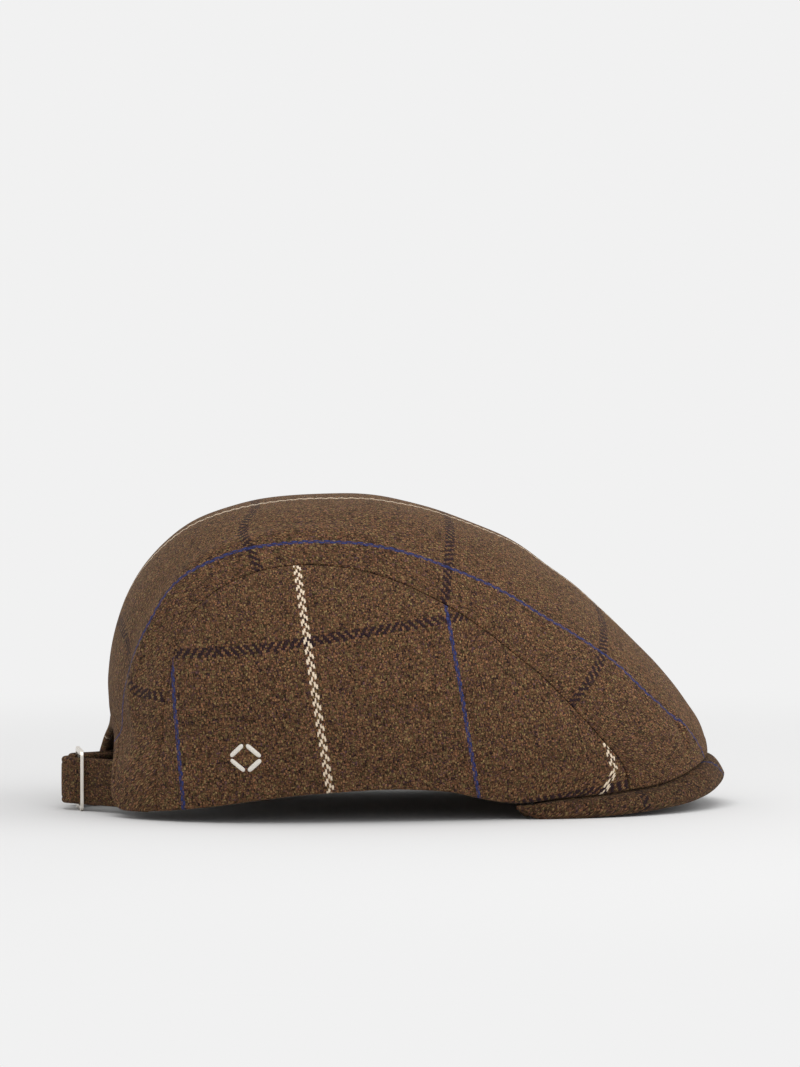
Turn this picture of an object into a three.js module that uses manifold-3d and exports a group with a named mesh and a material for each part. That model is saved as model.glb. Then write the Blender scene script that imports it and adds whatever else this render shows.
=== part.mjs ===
// Flat cap in checked tweed. The crown is one long top panel between two side panels. A stiffened
// peak lies under its front, and the back has an arched opening with a strap and a slider buckle.
// Millimetres, +Z up, +X towards the peak, +Y to the wearer's left. The cap rests on Z = 0.

import * as THREE from 'three';
import { mergeVertices } from 'three/addons/utils/BufferGeometryUtils.js';
import Module from 'manifold-3d';

const wasm = await Module();
wasm.setup();

// Overall sizes
const crownHeight = 134.1;
const wallThickness = 2.2;
const hemThickness = 3.0;
const seamGap = 0.44;
const seamDip = 0.7;
const seamDipReach = 5;

// Shape of a level outline of the crown: powers of a rounded oval
const nosePower = 2.25;
const heelPower = 2.5;
const sidePower = 2.2;

// Level outlines of the crown, each so far below its top: rearmost and foremost X,
// half of the width, and the X where it is widest
const crownLevels = [
  { drop: 0, back: -23, front: -23, halfWidth: 0, widest: -23 },
  { drop: 3, back: -59.5, front: 5, halfWidth: 35, widest: -24 },
  { drop: 11.5, back: -84.5, front: 31.5, halfWidth: 54.5, widest: -26 },
  { drop: 20, back: -97, front: 50.8, halfWidth: 64, widest: -28 },
  { drop: 29, back: -105.5, front: 64.1, halfWidth: 71.5, widest: -30 },
  { drop: 38, back: -111.5, front: 76.3, halfWidth: 77.5, widest: -32 },
  { drop: 46.5, back: -115.7, front: 85.8, halfWidth: 82, widest: -33 },
  { drop: 55, back: -118.4, front: 95, halfWidth: 85.5, widest: -34 },
  { drop: 63.5, back: -120.2, front: 103.8, halfWidth: 88, widest: -35 },
  { drop: 72, back: -121.4, front: 112.2, halfWidth: 90, widest: -36 },
  { drop: 81, back: -122.2, front: 119.8, halfWidth: 91, widest: -37 },
  { drop: 90, back: -121.8, front: 126.4, halfWidth: 91, widest: -38 },
  { drop: 98.5, back: -121.3, front: 132.3, halfWidth: 90, widest: -38 },
  { drop: 107, back: -125, front: 135.3, halfWidth: 88.5, widest: -38 },
  { drop: 115.5, back: -129.5, front: 136, halfWidth: 86, widest: -38 },
  { drop: 133.5, back: -135, front: 135, halfWidth: 80, widest: -38 },
  { drop: 146, back: -138, front: 131, halfWidth: 77, widest: -38 },
];

// The crown's surface is measured along rays from this point inside it
const crownCentre = new THREE.Vector3(-15, 0, 25);
const longestRay = 220;
const raySteps = 34;

// Seam between the top panel and a side panel, from the hem at the back to the hem in front.
// In this and the next tables y is the distance to one side of the middle.
const seamRoute = [
  { x: -107.5, y: 61.5, z: 4 },
  { x: -107, y: 60.5, z: 34 },
  { x: -103, y: 63.5, z: 61 },
  { x: -98.5, y: 61.5, z: 79.5 },
  { x: -86.5, y: 62.5, z: 94 },
  { x: -63, y: 66, z: 106 },
  { x: -35, y: 69, z: 107.5 },
  { x: -12, y: 72, z: 102.5 },
  { x: 14, y: 75, z: 90 },
  { x: 40, y: 76, z: 71.5 },
  { x: 64, y: 74, z: 50.5 },
  { x: 80.5, y: 68.5, z: 32.5 },
  { x: 91, y: 63, z: 21 },
  { x: 95, y: 59, z: 10 },
];

// Hem of a side panel, between the two ends of its seam
const sideHemRoute = [
  { x: -107.5, y: 61.5, z: 4 },
  { x: -90.5, y: 72.5, z: 6 },
  { x: -70, y: 80, z: 9 },
  { x: -49.5, y: 83.5, z: 11.5 },
  { x: -28.5, y: 84, z: 13 },
  { x: -7.5, y: 84, z: 13.5 },
  { x: 14, y: 81.5, z: 12 },
  { x: 27, y: 79, z: 9 },
  { x: 42.5, y: 75, z: 6.5 },
  { x: 62, y: 71, z: 8 },
  { x: 80, y: 65, z: 9 },
  { x: 95, y: 59, z: 10 },
];

// Hem of the top panel in front, from the end of the seam to the middle
const frontHemRoute = [
  { x: 95, y: 59, z: 10 },
  { x: 113, y: 47.5, z: 12.5 },
  { x: 123, y: 38.5, z: 15.5 },
  { x: 130.5, y: 26, z: 19 },
  { x: 134.6, y: 12, z: 21.4 },
  { x: 135.7, y: 0, z: 22.2 },
];

// Lower edge of the top panel at the back, from the end of the seam round the foot of the
// arched opening to the top of the arch
const archRoute = [
  { x: -107.5, y: 61.5, z: 4 },
  { x: -118, y: 50.5, z: 3.4 },
  { x: -122.5, y: 43.5, z: 4.2 },
  { x: -124.3, y: 38.8, z: 9 },
  { x: -124, y: 34.5, z: 17 },
  { x: -123, y: 28, z: 24 },
  { x: -122, y: 16, z: 30.8 },
  { x: -121.5, y: 0, z: 34.3 },
];

// Soft crease along the shoulder of the top panel, with its height at each place
const shoulderCrease = [
  { x: -115.5, y: 47, z: 24, rise: 0.6 },
  { x: -117, y: 40, z: 51.5, rise: 1.4 },
  { x: -110, y: 44.5, z: 78.5, rise: 1.6 },
  { x: -100.5, y: 46.5, z: 94, rise: 1.6 },
  { x: -86, y: 47.5, z: 109, rise: 1.4 },
  { x: -65, y: 53, z: 116.5, rise: 1.5 },
  { x: -40, y: 56, z: 120, rise: 1.6 },
  { x: -15, y: 60, z: 116.5, rise: 0.9 },
  { x: 5, y: 65, z: 108, rise: 0.2 },
];
const creaseSpread = 5.5;

// How finely the cloth panels are faceted
const seamSteps = 44;
const topColumns = 24;
const sideRows = 8;
const guideDome = 45;
const cornerCut = 0.12;

// The inner edge of the front hem is lifted so that it clears the rising peak, but no more than
// a share of the panel's own height there
const frontHemLift = 1.4;
const frontLiftShare = 0.2;
const frontLiftStart = 45;
const frontLiftFull = 100;

// Peak: an oval rim in plan, an oval inner edge along the head opening, and a curved slope
const peakRimCentreX = 55;
const peakRimLength = 88.3;
const peakRimHalfWidth = 75;
const peakInnerCentreX = 44;
const peakInnerLength = 29;
const peakInnerHalfWidth = 70;
const peakEndAngle = 98;
const peakThickness = 4.4;
const peakInnerHeightMiddle = 28.4;
const peakInnerHeightCorner = 4.8;
const peakUnderHem = 0.6;
const peakBellyMiddle = 3.5;
const peakBellyCorner = 2.2;
const peakEdgeInset = 2.4;
const peakRollPower = 2.5;
const peakInnerSlope = 0.2;
const peakHemCover = 1.2;
const hemReach = 30;
const peakSteps = 34;

// Height of the underside of the rim, by the angle round the rim's centre
const peakRimHeights = [
  { angle: 0, low: 10.4 },
  { angle: 10, low: 9.8 },
  { angle: 20, low: 8.1 },
  { angle: 30, low: 5.9 },
  { angle: 40, low: 4.0 },
  { angle: 50, low: 2.7 },
  { angle: 60, low: 1.6 },
  { angle: 70, low: 0.8 },
  { angle: 80, low: 0.2 },
  { angle: 90, low: 0 },
  { angle: 98, low: 0.4 },
];

// Strap across the back opening, in two pieces, and its slider buckle
const strapThickness = 2.6;
const strapHeight = 20;
const strapBottom = 2.7;
const strapWallGap = 1;
const strapRootSides = [52, 44, 35, 27];
const buckleX = -135.3;
const buckleHeight = 26;
const buckleRail = 2.2;
const buckleBar = 1.6;
const buckleDepth = 1.4;
const buckleBarSpacing = 13;
const buckleCorner = 3.4;
const barLoopRadius = 2.7;
const strapSteps = 40;

// Colours and finishes
const tweedColour = 0x523d2c;
const strapColour = 0x412e1f;
const metalColour = 0xc9c4bc;

// Value of a column of a table at a place between its rows, on a smooth curve through them
function smoothColumn(places, values, place) {
  const last = places.length - 1;
  const slopes = values.map((value, row) => {
    if (row === 0) return (values[1] - value) / (places[1] - places[0]);
    if (row === last) return (value - values[last - 1]) / (places[last] - places[last - 1]);
    const before = places[row] - places[row - 1];
    const after = places[row + 1] - places[row];
    const slopeBefore = (value - values[row - 1]) / before;
    const slopeAfter = (values[row + 1] - value) / after;
    return (slopeBefore * after + slopeAfter * before) / (before + after);
  });
  let row = 0;
  while (row < last - 1 && place > places[row + 1]) row += 1;
  const step = places[row + 1] - places[row];
  const t = (place - places[row]) / step;
  const rest = 1 - t;
  return (
    (1 + 2 * t) * rest * rest * values[row] +
    t * rest * rest * step * slopes[row] +
    t * t * (3 - 2 * t) * values[row + 1] -
    t * t * rest * step * slopes[row + 1]
  );
}

// The level outline of the crown at a height, read from the table
const levelPlaces = crownLevels.map((level) => Math.sqrt(level.drop));
function levelAt(z) {
  const lowest = levelPlaces[levelPlaces.length - 1];
  const place = Math.min(Math.sqrt(Math.max(crownHeight - z, 0)), lowest);
  const column = (name) => smoothColumn(levelPlaces, crownLevels.map((level) => level[name]), place);
  return { back: column('back'), front: column('front'), halfWidth: column('halfWidth'), widest: column('widest') };
}

function isInsideCrown(point) {
  if (point.z >= crownHeight) return false;
  const level = levelAt(point.z);
  const inFront = point.x > level.widest;
  const reach = inFront ? level.front - level.widest : level.widest - level.back;
  const along = Math.abs(point.x - level.widest) / reach;
  const across = Math.abs(point.y) / level.halfWidth;
  return along ** (inFront ? nosePower : heelPower) + across ** sidePower < 1;
}

// The point of the crown's outer surface in the direction of a guide point
function onCrown(guide) {
  const direction = guide.clone().sub(crownCentre).normalize();
  let near = 5;
  let far = longestRay;
  for (let step = 0; step < raySteps; step += 1) {
    const middle = (near + far) / 2;
    if (isInsideCrown(crownCentre.clone().addScaledVector(direction, middle))) near = middle;
    else far = middle;
  }
  return crownCentre.clone().addScaledVector(direction, near);
}

// A point moved towards the inside of the crown
function inward(point, distance) {
  const direction = crownCentre.clone().sub(point).normalize();
  return point.clone().addScaledVector(direction, distance);
}

// A smooth route through the rows of a table, on one side of the cap: side is -1 or 1
function route(rows, side) {
  return new THREE.CatmullRomCurve3(rows.map((row) => new THREE.Vector3(row.x, side * row.y, row.z)));
}

// A smooth route from one side to the other, from a table that ends in the middle
function crossRoute(rows) {
  const right = rows.map((row) => new THREE.Vector3(row.x, -row.y, row.z));
  const left = rows.slice(0, -1).reverse().map((row) => new THREE.Vector3(row.x, row.y, row.z));
  return new THREE.CatmullRomCurve3([...right, ...left]);
}

function sampleRoute(curve, steps) {
  return curve.getSpacedPoints(steps).map(onCrown);
}

// How far the shoulder crease lifts the cloth at a point
const creaseSamples = shoulderCrease.slice(1).flatMap((end, index) => {
  const start = shoulderCrease[index];
  return [0, 0.2, 0.4, 0.6, 0.8].map((t) => ({
    place: new THREE.Vector3(start.x, start.y, start.z).lerp(new THREE.Vector3(end.x, end.y, end.z), t),
    rise: start.rise + (end.rise - start.rise) * t,
  }));
});
creaseSamples.forEach((sample) => sample.place.copy(onCrown(sample.place)));
function creaseRise(point) {
  const mirrored = new THREE.Vector3(point.x, Math.abs(point.y), point.z);
  let nearest = creaseSamples[0];
  for (const sample of creaseSamples) {
    if (sample.place.distanceTo(mirrored) < nearest.place.distanceTo(mirrored)) nearest = sample;
  }
  const distance = nearest.place.distanceTo(mirrored);
  return nearest.rise * Math.exp(-((distance / creaseSpread) ** 2));
}

// How far the cloth sinks beside a seam
const seamSamples = sampleRoute(route(seamRoute, 1), seamSteps * 4);
function seamSink(point) {
  const mirrored = new THREE.Vector3(point.x, Math.abs(point.y), point.z);
  const distance = Math.min(...seamSamples.map((sample) => sample.distanceTo(mirrored)));
  return seamDip * Math.exp(-((distance / seamDipReach) ** 2));
}

function withRelief(point) {
  return inward(point, seamSink(point) - creaseRise(point));
}

// A point moved a little along the surface towards its neighbour, to leave the gap of a seam
function insetTowards(point, neighbour) {
  return point.clone().addScaledVector(neighbour.clone().sub(point).normalize(), seamGap / 2);
}

// Closed body between two grids of points with the same rows and columns
function shellGeometry(outer, inner) {
  const rows = outer.length;
  const columns = outer[0].length;
  const positions = [...outer.flat(), ...inner.flat()].flatMap((point) => [point.x, point.y, point.z]);
  const faces = [];
  const at = (layer, row, column) => layer * rows * columns + row * columns + column;
  const quad = (a, b, c, d) => faces.push(a, b, c, a, c, d);
  for (let row = 0; row < rows - 1; row += 1) {
    for (let column = 0; column < columns - 1; column += 1) {
      quad(at(0, row, column), at(0, row, column + 1), at(0, row + 1, column + 1), at(0, row + 1, column));
      quad(at(1, row, column), at(1, row + 1, column), at(1, row + 1, column + 1), at(1, row, column + 1));
    }
  }
  for (let row = 0; row < rows - 1; row += 1) {
    quad(at(0, row, 0), at(0, row + 1, 0), at(1, row + 1, 0), at(1, row, 0));
    quad(at(0, row + 1, columns - 1), at(0, row, columns - 1), at(1, row, columns - 1), at(1, row + 1, columns - 1));
  }
  for (let column = 0; column < columns - 1; column += 1) {
    quad(at(0, 0, column + 1), at(0, 0, column), at(1, 0, column), at(1, 0, column + 1));
    quad(at(0, rows - 1, column), at(0, rows - 1, column + 1), at(1, rows - 1, column + 1), at(1, rows - 1, column));
  }
  return facingOut(positions, faces);
}

// Geometry of a closed body, with its faces turned so that they point out
function facingOut(positions, faces) {
  const corner = (index) => new THREE.Vector3().fromArray(positions, 3 * index);
  let volume = 0;
  for (let face = 0; face < faces.length; face += 3) {
    const [a, b, c] = [corner(faces[face]), corner(faces[face + 1]), corner(faces[face + 2])];
    volume += a.dot(b.cross(c));
  }
  const turned = volume < 0 ? faces.slice().reverse() : faces;
  const geometry = new THREE.BufferGeometry();
  geometry.setAttribute('position', new THREE.Float32BufferAttribute(positions, 3));
  geometry.setIndex(turned);
  geometry.computeVertexNormals();
  return geometry;
}

// Inner side of a panel: thicker at the hem, where the cloth is turned up
function innerSide(outer, hemWeight) {
  return outer.map((line, row) => {
    const lift = Math.min(frontHemLift, frontLiftShare * line[0].distanceTo(line[line.length - 1]));
    return line.map((point, column) => {
      const weight = hemWeight(row, column);
      const inner = inward(point, wallThickness + (hemThickness - wallThickness) * weight);
      inner.z += lift * weight * THREE.MathUtils.smoothstep(point.x, frontLiftStart, frontLiftFull);
      return inner;
    });
  });
}

// Top panel: between the two seams, the edge round the back opening and the front hem
function topPanelGeometry() {
  const right = route(seamRoute, -1).getSpacedPoints(seamSteps);
  const left = route(seamRoute, 1).getSpacedPoints(seamSteps);
  const back = crossRoute(archRoute).getSpacedPoints(topColumns);
  const front = crossRoute(frontHemRoute).getSpacedPoints(topColumns);
  const outer = right.map((rightPoint, row) => {
    const v = row / seamSteps;
    return back.map((backPoint, column) => {
      const u = column / topColumns;
      const guide = new THREE.Vector3()
        .addScaledVector(rightPoint, 1 - u)
        .addScaledVector(left[row], u)
        .addScaledVector(backPoint, 1 - v)
        .addScaledVector(front[column], v)
        .addScaledVector(right[0], -(1 - u) * (1 - v))
        .addScaledVector(left[0], -u * (1 - v))
        .addScaledVector(right[seamSteps], -(1 - u) * v)
        .addScaledVector(left[seamSteps], -u * v);
      guide.z += guideDome * 4 * u * (1 - u) * Math.sin(Math.PI * v);
      return withRelief(onCrown(guide));
    });
  });
  for (const line of outer) {
    line[0] = insetTowards(line[0], line[1]);
    line[topColumns] = insetTowards(line[topColumns], line[topColumns - 1]);
  }
  const hemWeight = (row) => (row === 0 || row === seamSteps ? 1 : 0);
  return shellGeometry(outer, innerSide(outer, hemWeight));
}

// Side panel: between its seam and its hem, on the side -1 or 1
function sidePanelGeometry(side) {
  const seam = route(seamRoute, side).getSpacedPoints(seamSteps);
  const hem = route(sideHemRoute, side).getSpacedPoints(seamSteps);
  for (const edge of [seam, hem]) {
    edge[0] = edge[0].clone().lerp(edge[1], cornerCut);
    edge[seamSteps] = edge[seamSteps].clone().lerp(edge[seamSteps - 1], cornerCut);
  }
  const outer = seam.map((seamPoint, column) => {
    const foot = onCrown(hem[column]);
    const head = insetTowards(onCrown(seamPoint), foot);
    const line = [];
    for (let row = 0; row <= sideRows; row += 1) {
      line.push(withRelief(onCrown(head.clone().lerp(foot, row / sideRows))));
    }
    return line;
  });
  const hemWeight = (column, row) => (row / sideRows) ** 4;
  return shellGeometry(outer, innerSide(outer, hemWeight));
}

// Peak: cross sections from one corner round the front to the other
const hemLoop = [
  ...route(sideHemRoute, -1).getSpacedPoints(120).slice(60),
  ...crossRoute(frontHemRoute).getSpacedPoints(120),
  ...route(sideHemRoute, 1).getSpacedPoints(120).reverse().slice(0, 60),
].map(onCrown).map(withRelief);

// The place of the crown's hem above the line of a cross section of the peak
function hemAbove(rim, inwards) {
  const across = (point) => Math.abs((point.x - rim.x) * inwards.y - (point.y - rim.y) * inwards.x);
  const inReach = hemLoop.filter((point) => point.distanceTo(rim) < hemReach);
  return inReach.reduce((best, point) => (across(point) < across(best) ? point : best));
}

function rimHeight(degrees) {
  const angles = peakRimHeights.map((row) => row.angle);
  return smoothColumn(angles, peakRimHeights.map((row) => row.low), Math.abs(degrees));
}

// Places on a cross section: shares of the way from the inner edge to the hem, from the hem to
// the rim, and round the lower half of the rim
const innerShares = [0, 0.35, 0.65, 0.85];
const rollShares = [0, 0.2, 0.4, 0.58, 0.75, 0.88, 0.96, 1];
const rimTurns = [18, 36, 54, 72];

function peakSection(share) {
  const degrees = share * peakEndAngle;
  const angle = THREE.MathUtils.degToRad(degrees);
  const innerAngle = (share * Math.PI) / 2;
  const middleShare = Math.cos(innerAngle) ** 2;
  const rim = new THREE.Vector3(
    peakRimCentreX + peakRimLength * Math.cos(angle),
    peakRimHalfWidth * Math.sin(angle),
    rimHeight(degrees),
  );
  const edge = new THREE.Vector3(
    peakInnerCentreX + peakInnerLength * Math.cos(innerAngle),
    peakInnerHalfWidth * Math.sin(innerAngle),
    peakInnerHeightCorner + (peakInnerHeightMiddle - peakInnerHeightCorner) * middleShare,
  );
  const flat = new THREE.Vector3(edge.x - rim.x, edge.y - rim.y, 0);
  const length = flat.length();
  const inwards = flat.clone().normalize();
  const hem = hemAbove(rim, inwards);
  const hemDepth = (hem.x - rim.x) * inwards.x + (hem.y - rim.y) * inwards.y + peakHemCover;
  const depth = Math.min(hemDepth, length * 0.85);
  const inset = Math.min(peakEdgeInset, depth * 0.5);
  const belly = peakBellyCorner + (peakBellyMiddle - peakBellyCorner) * middleShare;
  const underHem = hem.z - peakUnderHem;
  const bellyHeight = rim.z + belly;
  const climb = edge.z - underHem;
  const bend = climb > 0 ? THREE.MathUtils.clamp((peakInnerSlope * (length - depth)) / climb, 1, 8) : 1;
  const placeAt = (fromRim, z) => rim.clone().addScaledVector(inwards, fromRim).setZ(z);
  const top = [];
  const under = [];
  for (const inner of innerShares) {
    const fromRim = length - (length - depth) * inner;
    const z = edge.z - climb * inner ** bend;
    top.push(placeAt(fromRim, z));
    under.push(placeAt(fromRim, z - peakThickness));
  }
  for (const roll of rollShares) {
    const z = bellyHeight + (underHem - bellyHeight) * (1 - roll ** peakRollPower);
    const low = rim.z + (underHem - peakThickness - rim.z) * (1 - roll);
    top.push(placeAt(depth * (1 - roll), z));
    under.push(placeAt(inset + (depth - inset) * (1 - roll), low));
  }
  const turn = rimTurns.map((turned) => {
    const bearing = THREE.MathUtils.degToRad(turned);
    return placeAt(inset * (1 - Math.cos(bearing)), bellyHeight - belly * Math.sin(bearing));
  });
  return [...top, ...turn, ...under.reverse()];
}

// Closed body through rings of points, flat at both ends. The second half of each ring runs
// back beside the first half.
function loftGeometry(rings) {
  const size = rings[0].length;
  const positions = rings.flat().flatMap((point) => [point.x, point.y, point.z]);
  const faces = [];
  for (let ring = 0; ring < rings.length - 1; ring += 1) {
    for (let index = 0; index < size; index += 1) {
      const next = (index + 1) % size;
      const [a, b, c, d] = [ring * size + index, ring * size + next, (ring + 1) * size + next, (ring + 1) * size + index];
      faces.push(a, b, c, a, c, d);
    }
  }
  for (const [ring, turned] of [[0, true], [rings.length - 1, false]]) {
    for (let index = 0; index < size / 2 - 1; index += 1) {
      const [a, b] = [ring * size + index, ring * size + index + 1];
      const [c, d] = [ring * size + size - 2 - index, ring * size + size - 1 - index];
      if (turned) faces.push(a, c, b, a, d, c);
      else faces.push(a, b, c, a, c, d);
    }
  }
  return facingOut(positions, faces);
}

function peakGeometry() {
  const rings = [];
  for (let step = 0; step <= peakSteps; step += 1) {
    rings.push(peakSection((2 * step) / peakSteps - 1));
  }
  return loftGeometry(rings);
}

// Upright band of cloth along a route in plan
function bandGeometry(places) {
  const curve = new THREE.CatmullRomCurve3(places.map(([x, y]) => new THREE.Vector3(x, y, 0)), false, 'centripetal');
  const rings = [];
  for (let step = 0; step <= strapSteps; step += 1) {
    const share = step / strapSteps;
    const middle = curve.getPointAt(share);
    const along = curve.getTangentAt(share);
    const across = new THREE.Vector3(-along.y, along.x, 0).multiplyScalar(strapThickness / 2);
    const corners = [[1, 0], [1, 1], [-1, 1], [-1, 0]];
    rings.push(corners.map(([side, up]) => middle.clone().addScaledVector(across, side).setZ(strapBottom + up * strapHeight)));
  }
  return loftGeometry(rings);
}

// Sewn end of a strap: inside the crown's wall, clear of it at the strap's upper edge
function strapRoot(side) {
  const depth = wallThickness + strapWallGap + strapThickness / 2;
  return strapRootSides.map((y) => {
    const guide = new THREE.Vector3(crownCentre.x - 110, side * y, strapBottom + strapHeight);
    let onWall = onCrown(guide);
    for (let pass = 0; pass < 6; pass += 1) {
      guide.set(onWall.x, side * y, strapBottom + strapHeight);
      onWall = onCrown(guide);
    }
    const inside = inward(withRelief(onWall), depth);
    return [inside.x, inside.y];
  });
}

// The right piece is the tail: under the near bar, over the middle bar, and in behind the far one
function strapTailGeometry() {
  const places = [
    ...strapRoot(-1),
    [-126.2, -18.6],
    [buckleX + 1.95, -buckleBarSpacing + 1.95],
    [-139.4, -5.2],
    [-141.7, 0],
    [-138.6, 4.6],
    [-132.2, 8.2],
    [-127.8, 11.3],
    [-122.5, 15.2],
    [-117, 19.2],
  ];
  return bandGeometry(places);
}

// The left piece loops round the far bar, and its end is sewn back on itself
function strapLoopGeometry() {
  const places = [...strapRoot(1), [-127, 21.2]];
  for (const degrees of [125, 165, 205, 245, 285, 315]) {
    const angle = THREE.MathUtils.degToRad(degrees);
    places.push([
      buckleX + barLoopRadius * Math.cos(angle),
      buckleBarSpacing + barLoopRadius * Math.sin(angle),
    ]);
  }
  places.push([-129.6, 14.6], [-125.6, 17.8]);
  return bandGeometry(places);
}

// Solid for boolean cuts from a closed geometry, and geometry back from such a solid
function solidFrom(geometry) {
  const bare = geometry.clone();
  bare.deleteAttribute('normal');
  bare.deleteAttribute('uv');
  const merged = mergeVertices(bare);
  const vertProperties = new Float32Array(merged.attributes.position.array);
  const triVerts = new Uint32Array(merged.index.array);
  return new wasm.Manifold(new wasm.Mesh({ numProp: 3, vertProperties, triVerts }));
}

function geometryFrom(solid) {
  const mesh = solid.getMesh();
  const geometry = new THREE.BufferGeometry();
  geometry.setAttribute('position', new THREE.BufferAttribute(mesh.vertProperties, 3));
  geometry.setIndex(new THREE.BufferAttribute(mesh.triVerts, 1));
  geometry.computeVertexNormals();
  return geometry;
}

// Slider buckle: a rounded frame with two slots and a middle bar between them, facing the back
function buckleGeometry() {
  const halfWidth = buckleBarSpacing + buckleBar / 2;
  const r = buckleCorner;
  const frame = new THREE.Shape();
  frame.absarc(halfWidth - r, r, r, -Math.PI / 2, 0);
  frame.absarc(halfWidth - r, buckleHeight - r, r, 0, Math.PI / 2);
  frame.absarc(-halfWidth + r, buckleHeight - r, r, Math.PI / 2, Math.PI);
  frame.absarc(-halfWidth + r, r, r, Math.PI, 1.5 * Math.PI);
  const plate = new THREE.ExtrudeGeometry(frame, { depth: buckleDepth, bevelEnabled: false, curveSegments: 5 });
  const slotWidth = buckleBarSpacing - buckleBar;
  const slotHeight = buckleHeight - 2 * buckleRail;
  let solid = solidFrom(plate);
  for (const side of [-1, 1]) {
    const slot = new THREE.BoxGeometry(slotWidth, slotHeight, 4 * buckleDepth);
    slot.translate((side * buckleBarSpacing) / 2, buckleHeight / 2, 0);
    solid = solid.subtract(solidFrom(slot));
  }
  const faceBack = new THREE.Matrix4().makeBasis(
    new THREE.Vector3(0, 1, 0),
    new THREE.Vector3(0, 0, 1),
    new THREE.Vector3(1, 0, 0),
  );
  return geometryFrom(solid).applyMatrix4(faceBack);
}

function cloth(name, geometry, colour) {
  const material = new THREE.MeshStandardMaterial({ color: colour, roughness: 0.95, metalness: 0 });
  const mesh = new THREE.Mesh(geometry, material);
  mesh.name = name;
  return mesh;
}

function metal(name, geometry) {
  const material = new THREE.MeshStandardMaterial({ color: metalColour, roughness: 0.35, metalness: 1 });
  const mesh = new THREE.Mesh(geometry, material);
  mesh.name = name;
  return mesh;
}

const crown = new THREE.Group();
crown.add(cloth('top_panel', topPanelGeometry(), tweedColour));
crown.add(cloth('side_panel_right', sidePanelGeometry(-1), tweedColour));
crown.add(cloth('side_panel_left', sidePanelGeometry(1), tweedColour));

const fastening = new THREE.Group();
fastening.add(cloth('strap_tail', strapTailGeometry(), strapColour));
fastening.add(cloth('strap_loop', strapLoopGeometry(), strapColour));
const buckle = metal('buckle', buckleGeometry());
buckle.position.set(buckleX - buckleDepth / 2, 0, 0);
fastening.add(buckle);

const cap = new THREE.Group();
cap.add(crown);
cap.add(cloth('peak', peakGeometry(), tweedColour));
cap.add(fastening);

export default cap;
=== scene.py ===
"""Flat cap in checked tweed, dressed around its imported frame.

The crown is one long top panel between two side panels. A cloth-covered peak lies under its
front, and a strap with a slider buckle closes the arched opening at the back. Tables and sizes
are in millimetres and become metres where a mesh is written. +X is the front of the peak, +Y
the wearer's left, +Z up.
"""

import logging
import math
from dataclasses import dataclass
from enum import Enum
from typing import Callable, Sequence

import bpy
import numpy as np
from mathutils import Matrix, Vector


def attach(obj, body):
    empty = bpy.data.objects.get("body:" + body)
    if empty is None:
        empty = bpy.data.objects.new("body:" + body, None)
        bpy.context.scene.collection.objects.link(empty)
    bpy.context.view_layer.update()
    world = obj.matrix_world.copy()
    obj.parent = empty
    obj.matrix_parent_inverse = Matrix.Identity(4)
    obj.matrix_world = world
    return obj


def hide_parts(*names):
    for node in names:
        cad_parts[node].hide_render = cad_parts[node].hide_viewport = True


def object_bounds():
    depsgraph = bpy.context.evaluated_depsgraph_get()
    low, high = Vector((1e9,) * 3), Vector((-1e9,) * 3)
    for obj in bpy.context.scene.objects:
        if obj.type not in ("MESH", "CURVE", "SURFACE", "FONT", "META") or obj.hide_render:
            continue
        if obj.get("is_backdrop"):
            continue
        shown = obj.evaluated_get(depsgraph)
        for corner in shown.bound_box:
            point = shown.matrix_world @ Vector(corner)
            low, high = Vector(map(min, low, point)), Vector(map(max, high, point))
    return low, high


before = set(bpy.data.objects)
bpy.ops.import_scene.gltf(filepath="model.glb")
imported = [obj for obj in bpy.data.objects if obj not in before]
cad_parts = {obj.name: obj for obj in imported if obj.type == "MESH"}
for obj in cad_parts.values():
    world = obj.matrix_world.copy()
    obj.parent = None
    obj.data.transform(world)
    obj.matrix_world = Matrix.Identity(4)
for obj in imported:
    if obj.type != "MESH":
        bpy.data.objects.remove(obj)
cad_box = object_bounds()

MM = 0.001
BODY = "root"
CLOTH_MAP = "cloth"
# Distance from a cream stripe of the check to the next blue one
HALF_PANE = 62.5

log = logging.getLogger("flat_cap")


class Slot(Enum):
    """Material slots that the record gives."""

    TWEED = "tweed"
    STRAP = "strap_tweed"
    METAL = "buckle_metal"


class Side(Enum):
    """Side of the cap, as the sign of its Y."""

    RIGHT = -1
    LEFT = 1


# Numbers and curves


def cubic(
    t: np.ndarray, start: np.ndarray, end: np.ndarray, leave: np.ndarray, arrive: np.ndarray
) -> np.ndarray:
    """Returns the cubic from start to end with the given slopes there, at shares of the way."""
    rest = 1 - t
    inner = t * rest * (rest * leave - t * arrive)
    return (1 + 2 * t) * rest * rest * start + t * t * (3 - 2 * t) * end + inner


def smooth_column(places: np.ndarray, values: np.ndarray, at: np.ndarray) -> np.ndarray:
    """Reads a table column between its rows on a smooth curve.

    Args:
        places: Rising places of the rows.
        values: Value of the column at each row.
        at: Places to read.

    Returns:
        The values at those places.
    """
    step = np.diff(places)
    rise = np.diff(values) / step
    slope = np.empty_like(values)
    slope[0] = rise[0]
    slope[-1] = rise[-1]
    slope[1:-1] = (rise[:-1] * step[1:] + rise[1:] * step[:-1]) / (step[:-1] + step[1:])
    row = np.clip(np.searchsorted(places, at, side="right") - 1, 0, len(places) - 2)
    t = np.clip((at - places[row]) / step[row], 0.0, 1.0)
    leave, arrive = step[row] * slope[row], step[row] * slope[row + 1]
    return cubic(t, values[row], values[row + 1], leave, arrive)


def smooth_step(start: float, end: float, at: np.ndarray) -> np.ndarray:
    """Rises smoothly from 0 at start to 1 at end."""
    t = np.clip((at - start) / (end - start), 0.0, 1.0)
    return t * t * (3 - 2 * t)


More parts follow.
